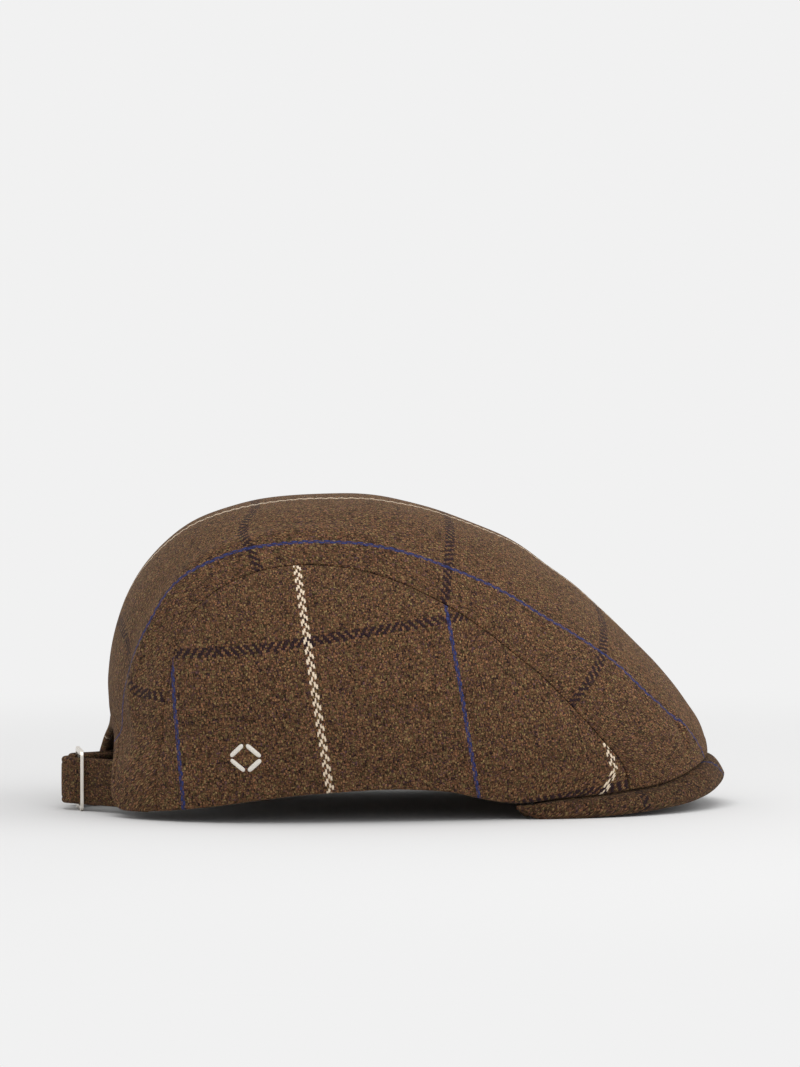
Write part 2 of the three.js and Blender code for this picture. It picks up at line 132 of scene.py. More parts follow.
def bell(distance: np.ndarray, spread: float) -> np.ndarray:
    """Returns 1 at distance 0, and less and less on both sides."""
    return np.exp(-((distance / spread) ** 2))


def unit(vectors: np.ndarray) -> np.ndarray:
    """Scales vectors to length one."""
    return vectors / np.maximum(np.linalg.norm(vectors, axis=-1, keepdims=True), 1e-12)


def travelled(points: np.ndarray, axis: int) -> np.ndarray:
    """Returns the length along the grid lines of one direction, from their start."""
    lengths = np.linalg.norm(np.diff(points, axis=axis), axis=-1)
    start_shape = list(lengths.shape)
    start_shape[axis] = 1
    return np.concatenate([np.zeros(start_shape), np.cumsum(lengths, axis=axis)], axis=axis)


class Table:
    """Short table with named columns, read smoothly between its rows."""

    def __init__(self, names: str, *rows: Sequence[float]) -> None:
        """Keeps the rows.

        Args:
            names: Column names, separated by spaces. The first is the place of a row.
            rows: One row of numbers for each place, in rising order.
        """
        self.columns = dict(zip(names.split(), np.array(rows, float).T))
        self.places = next(iter(self.columns.values()))

    def read(self, name: str, at: np.ndarray) -> np.ndarray:
        """Reads a column at the given places."""
        return smooth_column(self.places, self.columns[name], np.asarray(at, float))


class Route:
    """Smooth route through points, read by the share of its length."""

    STEPS = 60

    def __init__(self, points: Sequence[Sequence[float]]) -> None:
        """Lays a centripetal curve through the points."""
        self.dense = self._curve(np.array(points, float))
        self.travelled = travelled(self.dense, 0)
        self.length = self.travelled[-1]

    def _curve(self, points: np.ndarray) -> np.ndarray:
        """Returns closely spaced points of the curve."""
        ends = np.vstack([2 * points[0] - points[1], points, 2 * points[-1] - points[-2]])
        t = np.linspace(0, 1, self.STEPS, endpoint=False)[:, None]
        pieces = []
        for row in range(1, len(ends) - 2):
            before, start, end, after = ends[row - 1 : row + 3]
            spans = [
                max(np.sum((q - p) ** 2) ** 0.25, 1e-4)
                for p, q in ((before, start), (start, end), (end, after))
            ]
            leave = (start - before) / spans[0] - (end - before) / (spans[0] + spans[1])
            leave = (leave + (end - start) / spans[1]) * spans[1]
            arrive = (end - start) / spans[1] - (after - start) / (spans[1] + spans[2])
            arrive = (arrive + (after - end) / spans[2]) * spans[1]
            pieces.append(cubic(t, start, end, leave, arrive))
        return np.vstack([*pieces, points[-1:]])

    def at(self, share: np.ndarray) -> np.ndarray:
        """Returns the points at shares of the length."""
        place = np.asarray(share, float) * self.length
        columns = [np.interp(place, self.travelled, column) for column in self.dense.T]
        return np.stack(columns, -1)


def sided(rows: Sequence[Sequence[float]], side: Side) -> Route:
    """Returns a route on one side of the cap, from rows of x, distance from the middle and z."""
    return Route(np.array(rows, float) * (1, side.value, 1))


def across(rows: Sequence[Sequence[float]]) -> Route:
    """Returns a route from the right side to the left, from rows that end in the middle."""
    half = np.array(rows, float)
    return Route(np.vstack([half * (1, -1, 1), half[:-1][::-1]]))


# Seams and edges of the crown. y is the distance from the middle.
SEAM_ROWS = (
    (-107.5, 61.5, 4),
    (-107, 60.5, 34),
    (-103, 63.5, 61),
    (-98.5, 61.5, 79.5),
    (-86.5, 62.5, 94),
    (-63, 66, 106),
    (-35, 69, 107.5),
    (-12, 72, 102.5),
    (14, 75, 90),
    (40, 76, 71.5),
    (64, 74, 50.5),
    (80.5, 68.5, 32.5),
    (91, 63, 21),
    (95, 59, 10),
)
SIDE_HEM_ROWS = (
    (-107.5, 61.5, 4),
    (-90.5, 72.5, 6),
    (-70, 80, 9),
    (-49.5, 83.5, 11.5),
    (-28.5, 84, 13),
    (-7.5, 84, 13.5),
    (14, 81.5, 12),
    (27, 79, 9),
    (42.5, 75, 6.5),
    (62, 71, 8),
    (80, 65, 9),
    (95, 59, 10),
)
FRONT_HEM_ROWS = (
    (95, 59, 10),
    (113, 47.5, 12.5),
    (123, 38.5, 15.5),
    (130.5, 26, 19),
    (134.6, 12, 21.4),
    (135.7, 0, 22.2),
)
ARCH_ROWS = (
    (-107.5, 61.5, 4),
    (-118, 50.5, 3.4),
    (-122.5, 43.5, 4.2),
    (-124.3, 38.8, 9),
    (-124, 34.5, 17),
    (-123, 28, 24),
    (-122, 16, 30.8),
    (-121.5, 0, 34.3),
)


@dataclass(frozen=True)
class CrownForm:
    """Outer form of the crown, from level outlines."""

    height: float = 134.1
    nose_power: float = 2.25
    heel_power: float = 2.5
    side_power: float = 2.2
    centre: tuple[float, float, float] = (-15.0, 0.0, 25.0)
    longest_ray: float = 220.0

    LEVELS = Table(
        "drop back front half_width widest",
        (0, -23, -23, 0, -23),
        (3, -59.5, 5, 35, -24),
        (11.5, -84.5, 31.5, 54.5, -26),
        (20, -97, 50.8, 64, -28),
        (29, -105.5, 64.1, 71.5, -30),
        (38, -111.5, 76.3, 77.5, -32),
        (46.5, -115.7, 85.8, 82, -33),
        (55, -118.4, 95, 85.5, -34),
        (63.5, -120.2, 103.8, 88, -35),
        (72, -121.4, 112.2, 90, -36),
        (81, -122.2, 119.8, 91, -37),
        (90, -121.8, 126.4, 91, -38),
        (98.5, -121.3, 132.3, 90, -38),
        (107, -125, 135.3, 88.5, -38),
        (115.5, -129.5, 136, 86, -38),
        (133.5, -135, 135, 80, -38),
        (146, -138, 131, 77, -38),
    )

    def is_inside(self, points: np.ndarray) -> np.ndarray:
        """Tells which points lie inside the crown's outer form."""
        x, y, z = np.moveaxis(points, -1, 0)
        places = np.sqrt(self.LEVELS.places)
        drop = np.sqrt(np.maximum(self.height - z, 0))
        level = {
            name: smooth_column(places, self.LEVELS.columns[name], drop)
            for name in ("back", "front", "half_width", "widest")
        }
        in_front = x > level["widest"]
        reach = np.where(in_front, level["front"] - level["widest"], level["widest"] - level["back"])
        along = np.abs(x - level["widest"]) / np.maximum(reach, 1e-9)
        beside = np.abs(y) / np.maximum(level["half_width"], 1e-9)
        power = np.where(in_front, self.nose_power, self.heel_power)
        return (along**power + beside**self.side_power < 1) & (z < self.height)

    def lay(self, guides: np.ndarray) -> np.ndarray:
        """Moves guide points along rays from the crown's centre onto its outer surface."""
        centre = np.array(self.centre)
        direction = unit(guides - centre)
        near = np.full(direction.shape[:-1], 5.0)
        far = np.full(direction.shape[:-1], self.longest_ray)
        for _ in range(30):
            middle = (near + far) / 2
            inside = self.is_inside(centre + direction * middle[..., None])
            near = np.where(inside, middle, near)
            far = np.where(inside, far, middle)
        return centre + direction * near[..., None]


CROWN = CrownForm()


@dataclass(frozen=True)
class Relief:
    """Creases, dents and seam dips of the crown's cloth, as heights above its form."""

    seam_dip: float = 0.7
    seam_reach: float = 5.0
    seam_length: float = 322.0
    gather_height: float = 0.16
    gather_pitch: float = 6.5
    gather_place: float = 3.2
    gather_spread: float = 2.6
    crease_spread: float = 5.5
    tuck_spread: float = 2.2
    lip_place: float = 3.2
    lip_spread: float = 2.0
    dent_height: float = 0.55
    seed: int = 7

    # x, distance from the middle, z and height of the shoulder crease, and the same with the depth
    # of the tuck beside the nose
    SHOULDER = (
        (-115.5, 47, 24, 0.6),
        (-117, 40, 51.5, 1.4),
        (-110, 44.5, 78.5, 1.6),
        (-100.5, 46.5, 94, 1.6),
        (-86, 47.5, 109, 1.4),
        (-65, 53, 116.5, 1.5),
        (-40, 56, 120, 1.6),
        (-15, 60, 116.5, 0.9),
        (5, 65, 108, 0.2),
    )
    NOSE_TUCK = (
        (108, 44.5, 47, 0.0),
        (111.3, 42.7, 42.4, 0.7),
        (115.9, 41.1, 37.1, 1.2),
        (120, 40, 30.5, 1.0),
        (121.5, 40, 24, 0.2),
    )

    def from_line(
        self, points: np.ndarray, rows: Sequence[Sequence[float]], steps: int
    ) -> tuple[np.ndarray, np.ndarray, np.ndarray]:
        """Measures from points to a line that lies on both sides of the crown.

        Args:
            points: Points to measure from.
            rows: Points of the line, with a value at each, or without one.
            steps: Places on the line.

        Returns:
            The distance to the nearest place, the value or else the share of the line there, and
            the way from that place.
        """
        table = np.array(rows, float)
        shares = np.linspace(0, 1, steps)
        line = CROWN.lay(Route(table[:, :3]).at(shares))
        values = shares
        if table.shape[1] > 3:
            values = np.interp(shares, np.linspace(0, 1, len(table)), table[:, 3])
        mirrored = np.where((False, True, False), np.abs(points), points)
        best = np.full(points.shape[:-1], np.inf)
        index = np.zeros(points.shape[:-1], int)
        for number, place in enumerate(line):
            distance = np.linalg.norm(mirrored - place, axis=-1)
            closer = distance < best
            best = np.where(closer, distance, best)
            index = np.where(closer, number, index)
        return best, values[index], mirrored - line[index]

    def seam_height(self, points: np.ndarray) -> np.ndarray:
        """Sinks the cloth beside the seams and gathers it a little along them."""
        distance, share, _ = self.from_line(points, SEAM_ROWS, 260)
        along = share * self.seam_length
        side = np.sign(points[..., 1]) * 0.7
        gather = np.sin(2 * np.pi * along / self.gather_pitch + 2 * np.sin(along / 23 + side))
        fade = bell(distance - self.gather_place, self.gather_spread)
        strength = self.gather_height * (0.55 + 0.45 * np.sin(along / 31 + 1 + side))
        return gather * fade * strength - self.seam_dip * bell(distance, self.seam_reach)

    def crease_height(self, points: np.ndarray) -> np.ndarray:
        """Lifts the cloth along the shoulders."""
        distance, rise, _ = self.from_line(points, self.SHOULDER, 120)
        return rise * bell(distance, self.crease_spread)

    def tuck_height(self, points: np.ndarray) -> np.ndarray:
        """Dents the cloth in a short tuck beside the nose, with a raised lip behind it."""
        distance, depth, way = self.from_line(points, self.NOSE_TUCK, 50)
        is_ahead = way[..., 0] + way[..., 2] * 0.4 > 0
        lip = 0.7 * bell(distance - self.lip_place, self.lip_spread) * is_ahead
        return depth * (lip - bell(distance, self.tuck_spread))

    def dents(self, points: np.ndarray) -> np.ndarray:
        """Adds the soft unevenness of cloth that no form fills."""
        random = np.random.default_rng(self.seed)
        total = np.zeros(points.shape[:-1])
        for wavelength, share in ((95, 1.0), (62, 0.8), (44, 0.6), (31, 0.4), (22, 0.25)):
            for _ in range(4):
                direction = unit(random.normal(size=3))
                phase = random.uniform(0, 2 * np.pi)
                total += share * np.sin(points @ direction * 2 * np.pi / wavelength + phase)
        return self.dent_height * total / 5

    def height(self, points: np.ndarray) -> np.ndarray:
        """Returns the whole relief at points on the crown's form."""
        lines = self.seam_height(points) + self.crease_height(points) + self.tuck_height(points)
        return lines + self.dents(points)


RELIEF = Relief()


# Meshes


def only(piece: bpy.types.Object) -> None:
    """Selects one piece alone and makes it active."""
    bpy.ops.object.select_all(action="DESELECT")
    piece.select_set(True)
    bpy.context.view_layer.objects.active = piece


def in_edit_mode(piece: bpy.types.Object, work: Callable[[], None]) -> None:
    """Runs edit mode operators on all of one piece."""
    only(piece)
    bpy.ops.object.mode_set(mode="EDIT")
    bpy.ops.mesh.select_all(action="SELECT")
    work()
    bpy.ops.object.mode_set(mode="OBJECT")


def grid_piece(name: str, columns: int, rows: int) -> tuple[bpy.types.Object, np.ndarray]:
    """Adds a flat grid to be shaped.

    Args:
        name: Name of the new piece.
        columns: Cells along its first direction.
        rows: Cells along its second direction.

    Returns:
        The piece, and the index of its vertex at each row and column.
    """
    bpy.ops.object.select_all(action="DESELECT")
    bpy.ops.mesh.primitive_grid_add(x_subdivisions=columns, y_subdivisions=rows, size=1)
    piece = bpy.context.active_object
    piece.name = name
    piece.data.name = name
    flat = np.empty(3 * len(piece.data.vertices))
    piece.data.vertices.foreach_get("co", flat)
    flat = flat.reshape(-1, 3)
    order = np.lexsort((flat[:, 0].round(6), flat[:, 1].round(6)))
    return piece, order.reshape(rows + 1, columns + 1)


def grid_normals(points: np.ndarray, centre: np.ndarray) -> np.ndarray:
    """Returns unit normals of a grid of points, turned away from a centre."""
    normals = unit(np.cross(np.gradient(points, axis=1), np.gradient(points, axis=0)))
    away = np.sum(normals * (points - centre), axis=-1)
    return normals * np.where(np.median(away) < 0, -1.0, 1.0)


def drawn_together(share: np.ndarray, tightness: float) -> np.ndarray:
    """Moves evenly spaced shares towards both ends, where edges need finer cells."""
    return share - tightness * np.sin(2 * np.pi * share) / (2 * np.pi)


@dataclass(frozen=True)
class Wall:
    """Cloth wall: its thickness, how its edges turn over, and its stitched hem."""

    hem_step: float = 0.1
    stitch_depth: float = 0.12
    stitch_width: float = 0.9
    thickness: float = 2.2
    hem_thickness: float = 3.0
    seam_roll: float = 0.8
    hem_roll: float = 1.5
    hem_width: float = 7.0

    def turn(self, distance: np.ndarray, roll: np.ndarray | float) -> np.ndarray:
        """Returns how far the surface has turned in near an edge, from 0 to 1 at the edge."""
        t = np.clip(distance / roll, 0.0, 1.0)
        return 1 - np.sqrt(np.maximum(1 - (1 - t) ** 2, 0.0))


def close_up(piece: bpy.types.Object, vertices: np.ndarray, cloth: np.ndarray) -> None:
    """Shapes a grid into a closed piece, with smooth shading and its faces turned outwards.

    Args:
        piece: Grid to shape.
        vertices: Place of each vertex, in millimetres.
        cloth: Place of each vertex on the flat cloth, in millimetres, written as a UV map.
    """
    mesh = piece.data
    mesh.vertices.foreach_set("co", (vertices * MM).ravel())
    mesh.update()
    while mesh.uv_layers:
        mesh.uv_layers.remove(mesh.uv_layers[0])
    layer = mesh.uv_layers.new(name=CLOTH_MAP)
    corners = np.empty(len(mesh.loops), int)
    mesh.loops.foreach_get("vertex_index", corners)
    layer.data.foreach_set("uv", cloth[corners].ravel())
    in_edit_mode(piece, lambda: bpy.ops.mesh.remove_doubles(threshold=1e-6))
    in_edit_mode(piece, lambda: bpy.ops.mesh.normals_make_consistent(inside=False))
    bpy.ops.object.shade_smooth()
    log.info("%s: %d faces", piece.name, len(mesh.polygons))


def cloth_wall(
    piece: bpy.types.Object,
    order: np.ndarray,
    form: np.ndarray,
    cloth: np.ndarray,
    wall: Wall,
    turned: np.ndarray,
    from_hem: np.ndarray,
    from_stitched: np.ndarray,
) -> None:
    """Closes a grid into a wall whose edges turn over to an inner side.

    Args:
        piece: Flat grid.
        order: Vertex index at each row and column.
        form: Place on the crown's form at each row and column.
        cloth: Place on the flat cloth.
        wall: Sizes of the wall.
        turned: How far the edge has turned in, from 0 to 1.
        from_hem: Distance from the nearest hem.
        from_stitched: Distance from the hem that shows its stitches.
    """
    normals = grid_normals(form, np.array(CROWN.centre))
    in_hem = 1 - smooth_step(wall.hem_width - 1, wall.hem_width + 1, from_hem)
    stitched = bell(from_stitched - wall.hem_width, wall.stitch_width)
    height = RELIEF.height(form) + wall.hem_step * in_hem - wall.stitch_depth * stitched
    outer = form + normals * height[..., None]
    thickness = (wall.thickness + (wall.hem_thickness - wall.thickness) * in_hem)[..., None]
    half = thickness / 2 * turned[..., None]
    skin = order.ravel()
    inside = skin + skin.size
    vertices = np.empty((2 * skin.size, 3))
    vertices[skin] = (outer - normals * half).reshape(-1, 3)
    vertices[inside] = (outer - normals * (thickness - half)).reshape(-1, 3)
    places = np.empty((2 * skin.size, 2))
    places[skin] = places[inside] = cloth.reshape(-1, 2)

    def double() -> None:
        """Copies the grid for the inner side and turns the copy round."""
        bpy.ops.mesh.duplicate()
        bpy.ops.mesh.flip_normals()

    in_edit_mode(piece, double)
    close_up(piece, vertices, places)


def ring_piece(name: str, rings: np.ndarray, cloth: np.ndarray) -> bpy.types.Object:
    """Makes a closed piece from rings of points. The first and last ring close on themselves.

    Args:
        name: Name of the piece.
        rings: Points, one ring in each row, in millimetres.
        cloth: Place on the flat cloth of each point.

    Returns:
        The closed piece.
    """
    count, size = rings.shape[:2]
    piece, order = grid_piece(name, size, count - 1)
    vertices, places = np.empty((order.size, 3)), np.empty((order.size, 2))
    for target, source in ((vertices, rings), (places, cloth)):
        target[order.ravel()] = np.concatenate([source, source[:, :1]], axis=1).reshape(len(target), -1)
    close_up(piece, vertices, places)
    return piece


# Finishes

Socket = bpy.types.NodeSocket


def arithmetic(operation: str, is_swapped: bool = False) -> Callable[["Value", object], "Value"]:
    """Returns the method that carries out one math operation with another number."""

    def method(value: "Value", other: object) -> "Value":
        """Returns the result for the two numbers."""
        pair = (other, value) if is_swapped else (value, other)
        return value.graph.math(operation, *pair)

    return method


class Value:
    """Number in a material's node graph, with the usual arithmetic."""

    def __init__(self, graph: "Graph", socket: Socket) -> None:
        """Keeps the socket that gives the number."""
        self.graph = graph
        self.socket = socket

    __add__ = arithmetic("ADD")
    __sub__ = arithmetic("SUBTRACT")
    __rsub__ = arithmetic("SUBTRACT", is_swapped=True)
    __mul__ = arithmetic("MULTIPLY")
    __truediv__ = arithmetic("DIVIDE")
    __mod__ = arithmetic("FLOORED_MODULO")
    __lt__ = arithmetic("LESS_THAN")


Input = Value | Socket | float
Inputs = dict[int | str, object]


class Graph:
    """Node graph of a material or a world, written as short calls."""

    def __init__(self, owner: bpy.types.ID) -> None:
        """Empties the nodes of a material or a world."""
        self.owner = owner
        owner.use_nodes = True
        self.tree = owner.node_tree
        self.tree.nodes.clear()

    def add(self, kind: str, inputs: Inputs | None = None, **settings: object) -> bpy.types.Node:
        """Adds a node.

        Args:
            kind: Type of the node.
            inputs: What its inputs are linked with or set to, by name or number.
            settings: Its other settings.

        Returns:
            The node.
        """
        node = self.tree.nodes.new(kind)
        for name, value in settings.items():
            setattr(node, name, value)
        for place, value in (inputs or {}).items():
            value = value.socket if isinstance(value, Value) else value
            if isinstance(value, bpy.types.NodeSocket):
                self.tree.links.new(value, node.inputs[place])
            else:
                node.inputs[place].default_value = value
        return node

    def math(self, operation: str, *values: Input) -> Value:
        """Returns the result of a math operation."""
        node = self.add("ShaderNodeMath", dict(enumerate(values)), operation=operation)
        return Value(self, node.outputs[0])

    def mix(self, share: Input, first: Input, second: Input) -> Value:
        """Returns a number between two others."""
        node = self.add("ShaderNodeMix", {0: share, 2: first, 3: second}, data_type="FLOAT")
        return Value(self, node.outputs[0])

    def choose(self, share: Input, first: Socket, second: Socket) -> Socket:
        """Returns one of two vectors."""
        return self.add("ShaderNodeMix", {0: share, 4: first, 5: second}, data_type="VECTOR").outputs[1]

    def tint(self, share: Input, first: object, second: object, blend: str = "MIX") -> Socket:
        """Returns a colour blended from two others."""
        inputs = {0: share, 6: first, 7: second}
        return self.add("ShaderNodeMix", inputs, data_type="RGBA", blend_type=blend).outputs[2]

    def pair(self, x: Input, y: Input) -> Socket:
        """Returns a vector from two numbers."""
        return self.add("ShaderNodeCombineXYZ", {0: x, 1: y}).outputs[0]

    def noise(self, vector: Socket, scale: float, detail: float, planar: bool = True) -> Value:
        """Returns noise between 0 and 1."""
        inputs = {"Vector": vector, "Scale": scale, "Detail": detail}
        node = self.add("ShaderNodeTexNoise", inputs, noise_dimensions="2D" if planar else "3D")
        return Value(self, node.outputs["Fac"])

    def ramp(self, share: Input, stops: Sequence[tuple[float, object]]) -> Socket:
        """Returns a colour from a ramp. Each stop has a place, and a colour or a grey."""
        node = self.add("ShaderNodeValToRGB", {0: share})
        elements = node.color_ramp.elements
        while len(elements) < len(stops):
            elements.new(0.5)
        for element, (place, colour) in zip(elements, stops):
            element.position = place
            element.color = (*np.broadcast_to(colour, 3), 1.0)
        return node.outputs[0]

    def cloth_place(self) -> tuple[Value, Value]:
        """Returns the place on the flat cloth, across the warp and along it."""
        place = self.add("ShaderNodeUVMap", uv_map=CLOTH_MAP).outputs[0]
        parts = self.add("ShaderNodeSeparateXYZ", {0: place}).outputs
        return Value(self, parts[0]), Value(self, parts[1])

    def finish(self, shader: bpy.types.Node, output: str = "ShaderNodeOutputMaterial") -> bpy.types.ID:
        """Connects the shader to the output and returns the material or world."""
        self.add(output, {"Surface": shader.outputs[0]})
        return self.owner

    def surface(
        self, colour: Socket, height: Value, relief: tuple[float, float], looks: Inputs
    ) -> bpy.types.Material:
        """Finishes the material as one bumpy surface.

        Args:
            colour: Base colour.
            height: Height of the bumps.
            relief: Strength of the bumps, and their distance in millimetres.
            looks: Other inputs of the shader.

        Returns:
            The material.
        """
        strength, distance = relief
        bumps = {"Strength": strength, "Distance": distance * MM, "Height": height}
        normal = self.add("ShaderNodeBump", bumps).outputs[0]
        inputs = {"Base Color": colour, "Normal": normal, **looks}
        return self.finish(self.add("ShaderNodeBsdfPrincipled", inputs))


def linear(red: int, green: int, blue: int) -> tuple[float, float, float]:
    """Returns a screen colour as linear light."""
    parts = [value / 255 for value in (red, green, blue)]
    return tuple(p / 12.92 if p <= 0.04045 else ((p + 0.055) / 1.055) ** 2.4 for p in parts)


@dataclass(frozen=True)
class TweedFinish:
    """Woollen broken twill, turned every 24 ends, with cream and blue ends and dark picks."""

    end_pitch: float = HALF_PANE / 72
    pick_pitch: float = 1.0
    pane_ends: int = 144
    band_ends: int = 24
    pane_picks: int = 78
    cream_ends: int = 4
    blue_ends: int = 2
    dark_picks: int = 4
    drift: float = 0.9
    yarn_step: float = 5.17
    slub: float = 1.15
    # Below 1 it darkens the whole cloth, for copies of the tweed that carry painted shade
    painted_shade_factor: float = 1.0
    relief: float = 0.5
    cream: tuple[int, int, int] = (232, 212, 186)
    blue: tuple[int, int, int] = (44, 56, 106)
    dark: tuple[int, int, int] = (34, 22, 32)

    YARNS = (
        (0.28, (62, 44, 46)),
        (0.40, (85, 60, 46)),
        (0.47, (105, 70, 48)),
        (0.56, (97, 74, 50)),
        (0.64, (94, 76, 51)),
        (0.74, (102, 86, 56)),
    )

    def material(self, name: str) -> bpy.types.Material:
        """Builds the woven cloth.

        Args:
            name: Name of the material.

        Returns:
            The material.
        """
        g = Graph(bpy.data.materials.new(name))
        flat_a, flat_b = g.cloth_place()
        flat = g.pair(flat_a, flat_b)
        drift_a = (g.noise(flat, 0.55, 1.0) - 0.5) * self.drift
        drift_b = (g.noise(g.pair(flat_a + 31.0, flat_b), 0.55, 1.0) - 0.5) * self.drift
        ends = (flat_a + drift_a) / self.end_pitch + self.cream_ends / 2
        picks = (flat_b + drift_b) / self.pick_pitch
        end = g.math("FLOOR", ends)
        pick = g.math("FLOOR", picks)

        in_pane = end % self.pane_ends
        is_cream = in_pane < self.cream_ends - 0.5
        band = g.math("FLOOR", (in_pane - self.cream_ends / 2) / self.band_ends)
        is_rising = g.math("PINGPONG", band + 1.0, 1.0) < 0.5
        blue_middle = self.pane_ends / 2 + (self.cream_ends - 1) / 2
        is_blue = g.math("ABSOLUTE", in_pane - blue_middle) < self.blue_ends / 2
        is_dark = (pick + self.dark_picks / 2) % self.pane_picks < self.dark_picks - 0.5

        # A two and two twill: the lean of its ribs changes from band to band
        lean = 1.0 - is_rising * 2.0
        start = end * lean + is_rising
        warp_up = (start + pick) % 4.0 < 1.5
        warp_height = self._bow(g, start + picks) * self._roundness(g, ends)
        weft_bow = self._bow(g, ends * lean + is_rising * 2.0 + pick + 2.0)
        weft_height = weft_bow * self._roundness(g, picks)
        yarn = g.math("POWER", g.mix(warp_up, weft_height, warp_height), 0.6)

        warp_yarn = g.pair(end * self.yarn_step, picks * self.slub)
        weft_yarn = g.pair(ends * self.slub, pick * self.yarn_step + 90.0)
        along = g.choose(warp_up, weft_yarn, warp_yarn)
        moved = g.add("ShaderNodeVectorMath", {0: along, 1: (47.0, 47.0, 0.0)}, operation="ADD")
        hues = [(place, linear(*shade)) for place, shade in self.YARNS]
        colour = g.ramp(g.noise(moved.outputs[0], 1.0, 1.0), hues)
        # Depth of each yarn, grain of the fibres and faint clouds, each with its share
        for noise, share, stops in (
            (g.noise(along, 1.0, 2.0), 1.0, ((0.3, 0.25), (0.5, 0.92), (0.7, 2.0))),
            (g.noise(flat, 2.6, 1.0), 0.8, ((0.3, 0.4), (0.5, 1.0), (0.7, 1.65))),
            (g.noise(flat, 0.09, 2.0), 1.0, ((0.3, (0.94, 0.93, 0.92)), (0.7, 1.06))),
        ):
            colour = g.tint(share, colour, g.ramp(noise, stops), "MULTIPLY")
        for share, stripe in (
            (is_dark * (1.0 - warp_up) * 0.9, self.dark),
            (is_blue * warp_up * 0.85, self.blue),
            (is_blue * 0.4, self.blue),
            (is_cream * warp_up * 0.95, self.cream),
        ):
            colour = g.tint(share, colour, (*linear(*stripe), 1))
        # Painted shade between the yarns: the colour is darkened where the weave lies low and lightened
        # a little on the yarn tops
        colour = g.tint(1.0, colour, g.mix(yarn, 0.5, 1.12) * self.painted_shade_factor, "MULTIPLY")

        height = yarn + g.noise(flat, 5.5, 2.0) * 0.5 + g.noise(flat, 0.8, 2.0) * 0.5
        looks = {
            "Roughness": 0.92,
            "Specular IOR Level": 0.1,
            "Sheen Weight": 0.08,
            "Sheen Roughness": 0.45,
            "Sheen Tint": (0.9, 0.7, 0.5, 1),
        }
        return g.surface(colour, height, (self.relief, 0.3), looks)

    def _bow(self, g: Graph, place: Value) -> Value:
        """Returns how high a yarn lies where it comes up, from its place in the weave."""
        return g.math("MAXIMUM", g.math("SINE", place % 4.0 * (math.pi / 2)), 0.0)

    def _roundness(self, g: Graph, place: Value) -> Value:
        """Returns the height across a yarn, one in its middle."""
        middle = g.math("FRACT", place) * 2.0 - 1.0
        return 1.0 - middle * middle * 0.8


@dataclass(frozen=True)
class MetalFinish:
    """Satin white metal with faint scratches."""

    light: tuple[int, int, int] = (240, 234, 224)
    dull: tuple[int, int, int] = (216, 208, 198)
    roughness: float = 0.34
    scratch_scale: tuple[float, float, float] = (900, 900, 90)

    def material(self, name: str) -> bpy.types.Material:
        """Builds the metal."""
        g = Graph(bpy.data.materials.new(name))
        place = g.add("ShaderNodeTexCoord").outputs["Object"]
        mapping = g.add("ShaderNodeMapping", {"Vector": place, "Scale": self.scratch_scale})
        stretched = mapping.outputs[0]
        scratch = g.noise(stretched, 1.0, 3.0, planar=False)
        cloud = g.noise(place, 160.0, 2.0, planar=False)
        colour = g.ramp(cloud, ((0.3, linear(*self.dull)), (0.7, linear(*self.light))))
        roughness = g.mix(scratch, self.roughness - 0.06, self.roughness + 0.1)
        return g.surface(colour, scratch, (0.12, 0.05), {"Roughness": roughness, "Metallic": 1.0})


@dataclass(frozen=True)
class ThreadFinish:
    """Lustrous white stitching thread."""

    light: tuple[int, int, int] = (238, 233, 224)
    dull: tuple[int, int, int] = (214, 206, 194)

    def material(self, name: str) -> bpy.types.Material:
        """Builds the thread."""
        g = Graph(bpy.data.materials.new(name))
        along, beside = g.cloth_place()
        strand = g.math("SINE", (along + beside * 0.6) * 14.0)
        fibre = g.noise(g.pair(along * 6.0, beside), 1.5, 3.0)
        colour = g.ramp(fibre, ((0.3, linear(*self.dull)), (0.65, linear(*self.light))))
        looks = {"Roughness": 0.55, "Sheen Weight": 0.2}
        return g.surface(colour, strand + fibre * 0.8, (0.35, 0.08), looks)


@dataclass(frozen=True)
class FloorFinish:
    """Pale floor that fades into the backdrop away from the cap."""

    shade: float = 0.88
    albedo: float = 0.72
    fade_start: float = 0.26
    fade_end: float = 0.7

    def material(self, name: str) -> bpy.types.Material:
        """Builds the floor."""
        g = Graph(bpy.data.materials.new(name))
        place = g.add("ShaderNodeTexCoord").outputs["Object"]
        length = g.add("ShaderNodeVectorMath", {0: place}, operation="LENGTH").outputs["Value"]
        reach = {"Value": length, "From Min": self.fade_start, "From Max": self.fade_end}
        fade = g.add("ShaderNodeMapRange", reach, interpolation_type="SMOOTHSTEP").outputs[0]
        matte = g.add("ShaderNodeBsdfDiffuse", {"Color": (self.albedo,) * 3 + (1,)}).outputs[0]
        glow = g.add("ShaderNodeEmission", {"Color": (self.shade,) * 3 + (1,)}).outputs[0]
        return g.finish(g.add("ShaderNodeMixShader", {0: fade, 1: matte, 2: glow}))


def dress(piece: bpy.types.Object, material: bpy.types.Material, slot: Slot, *nodes: str) -> None:
    """Gives a piece its material and body, and hides the nodes that it stands for."""
    piece.data.materials.clear()
    piece.data.materials.append(material)
    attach(piece, BODY)
    if nodes:
        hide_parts(*nodes)


# Crown


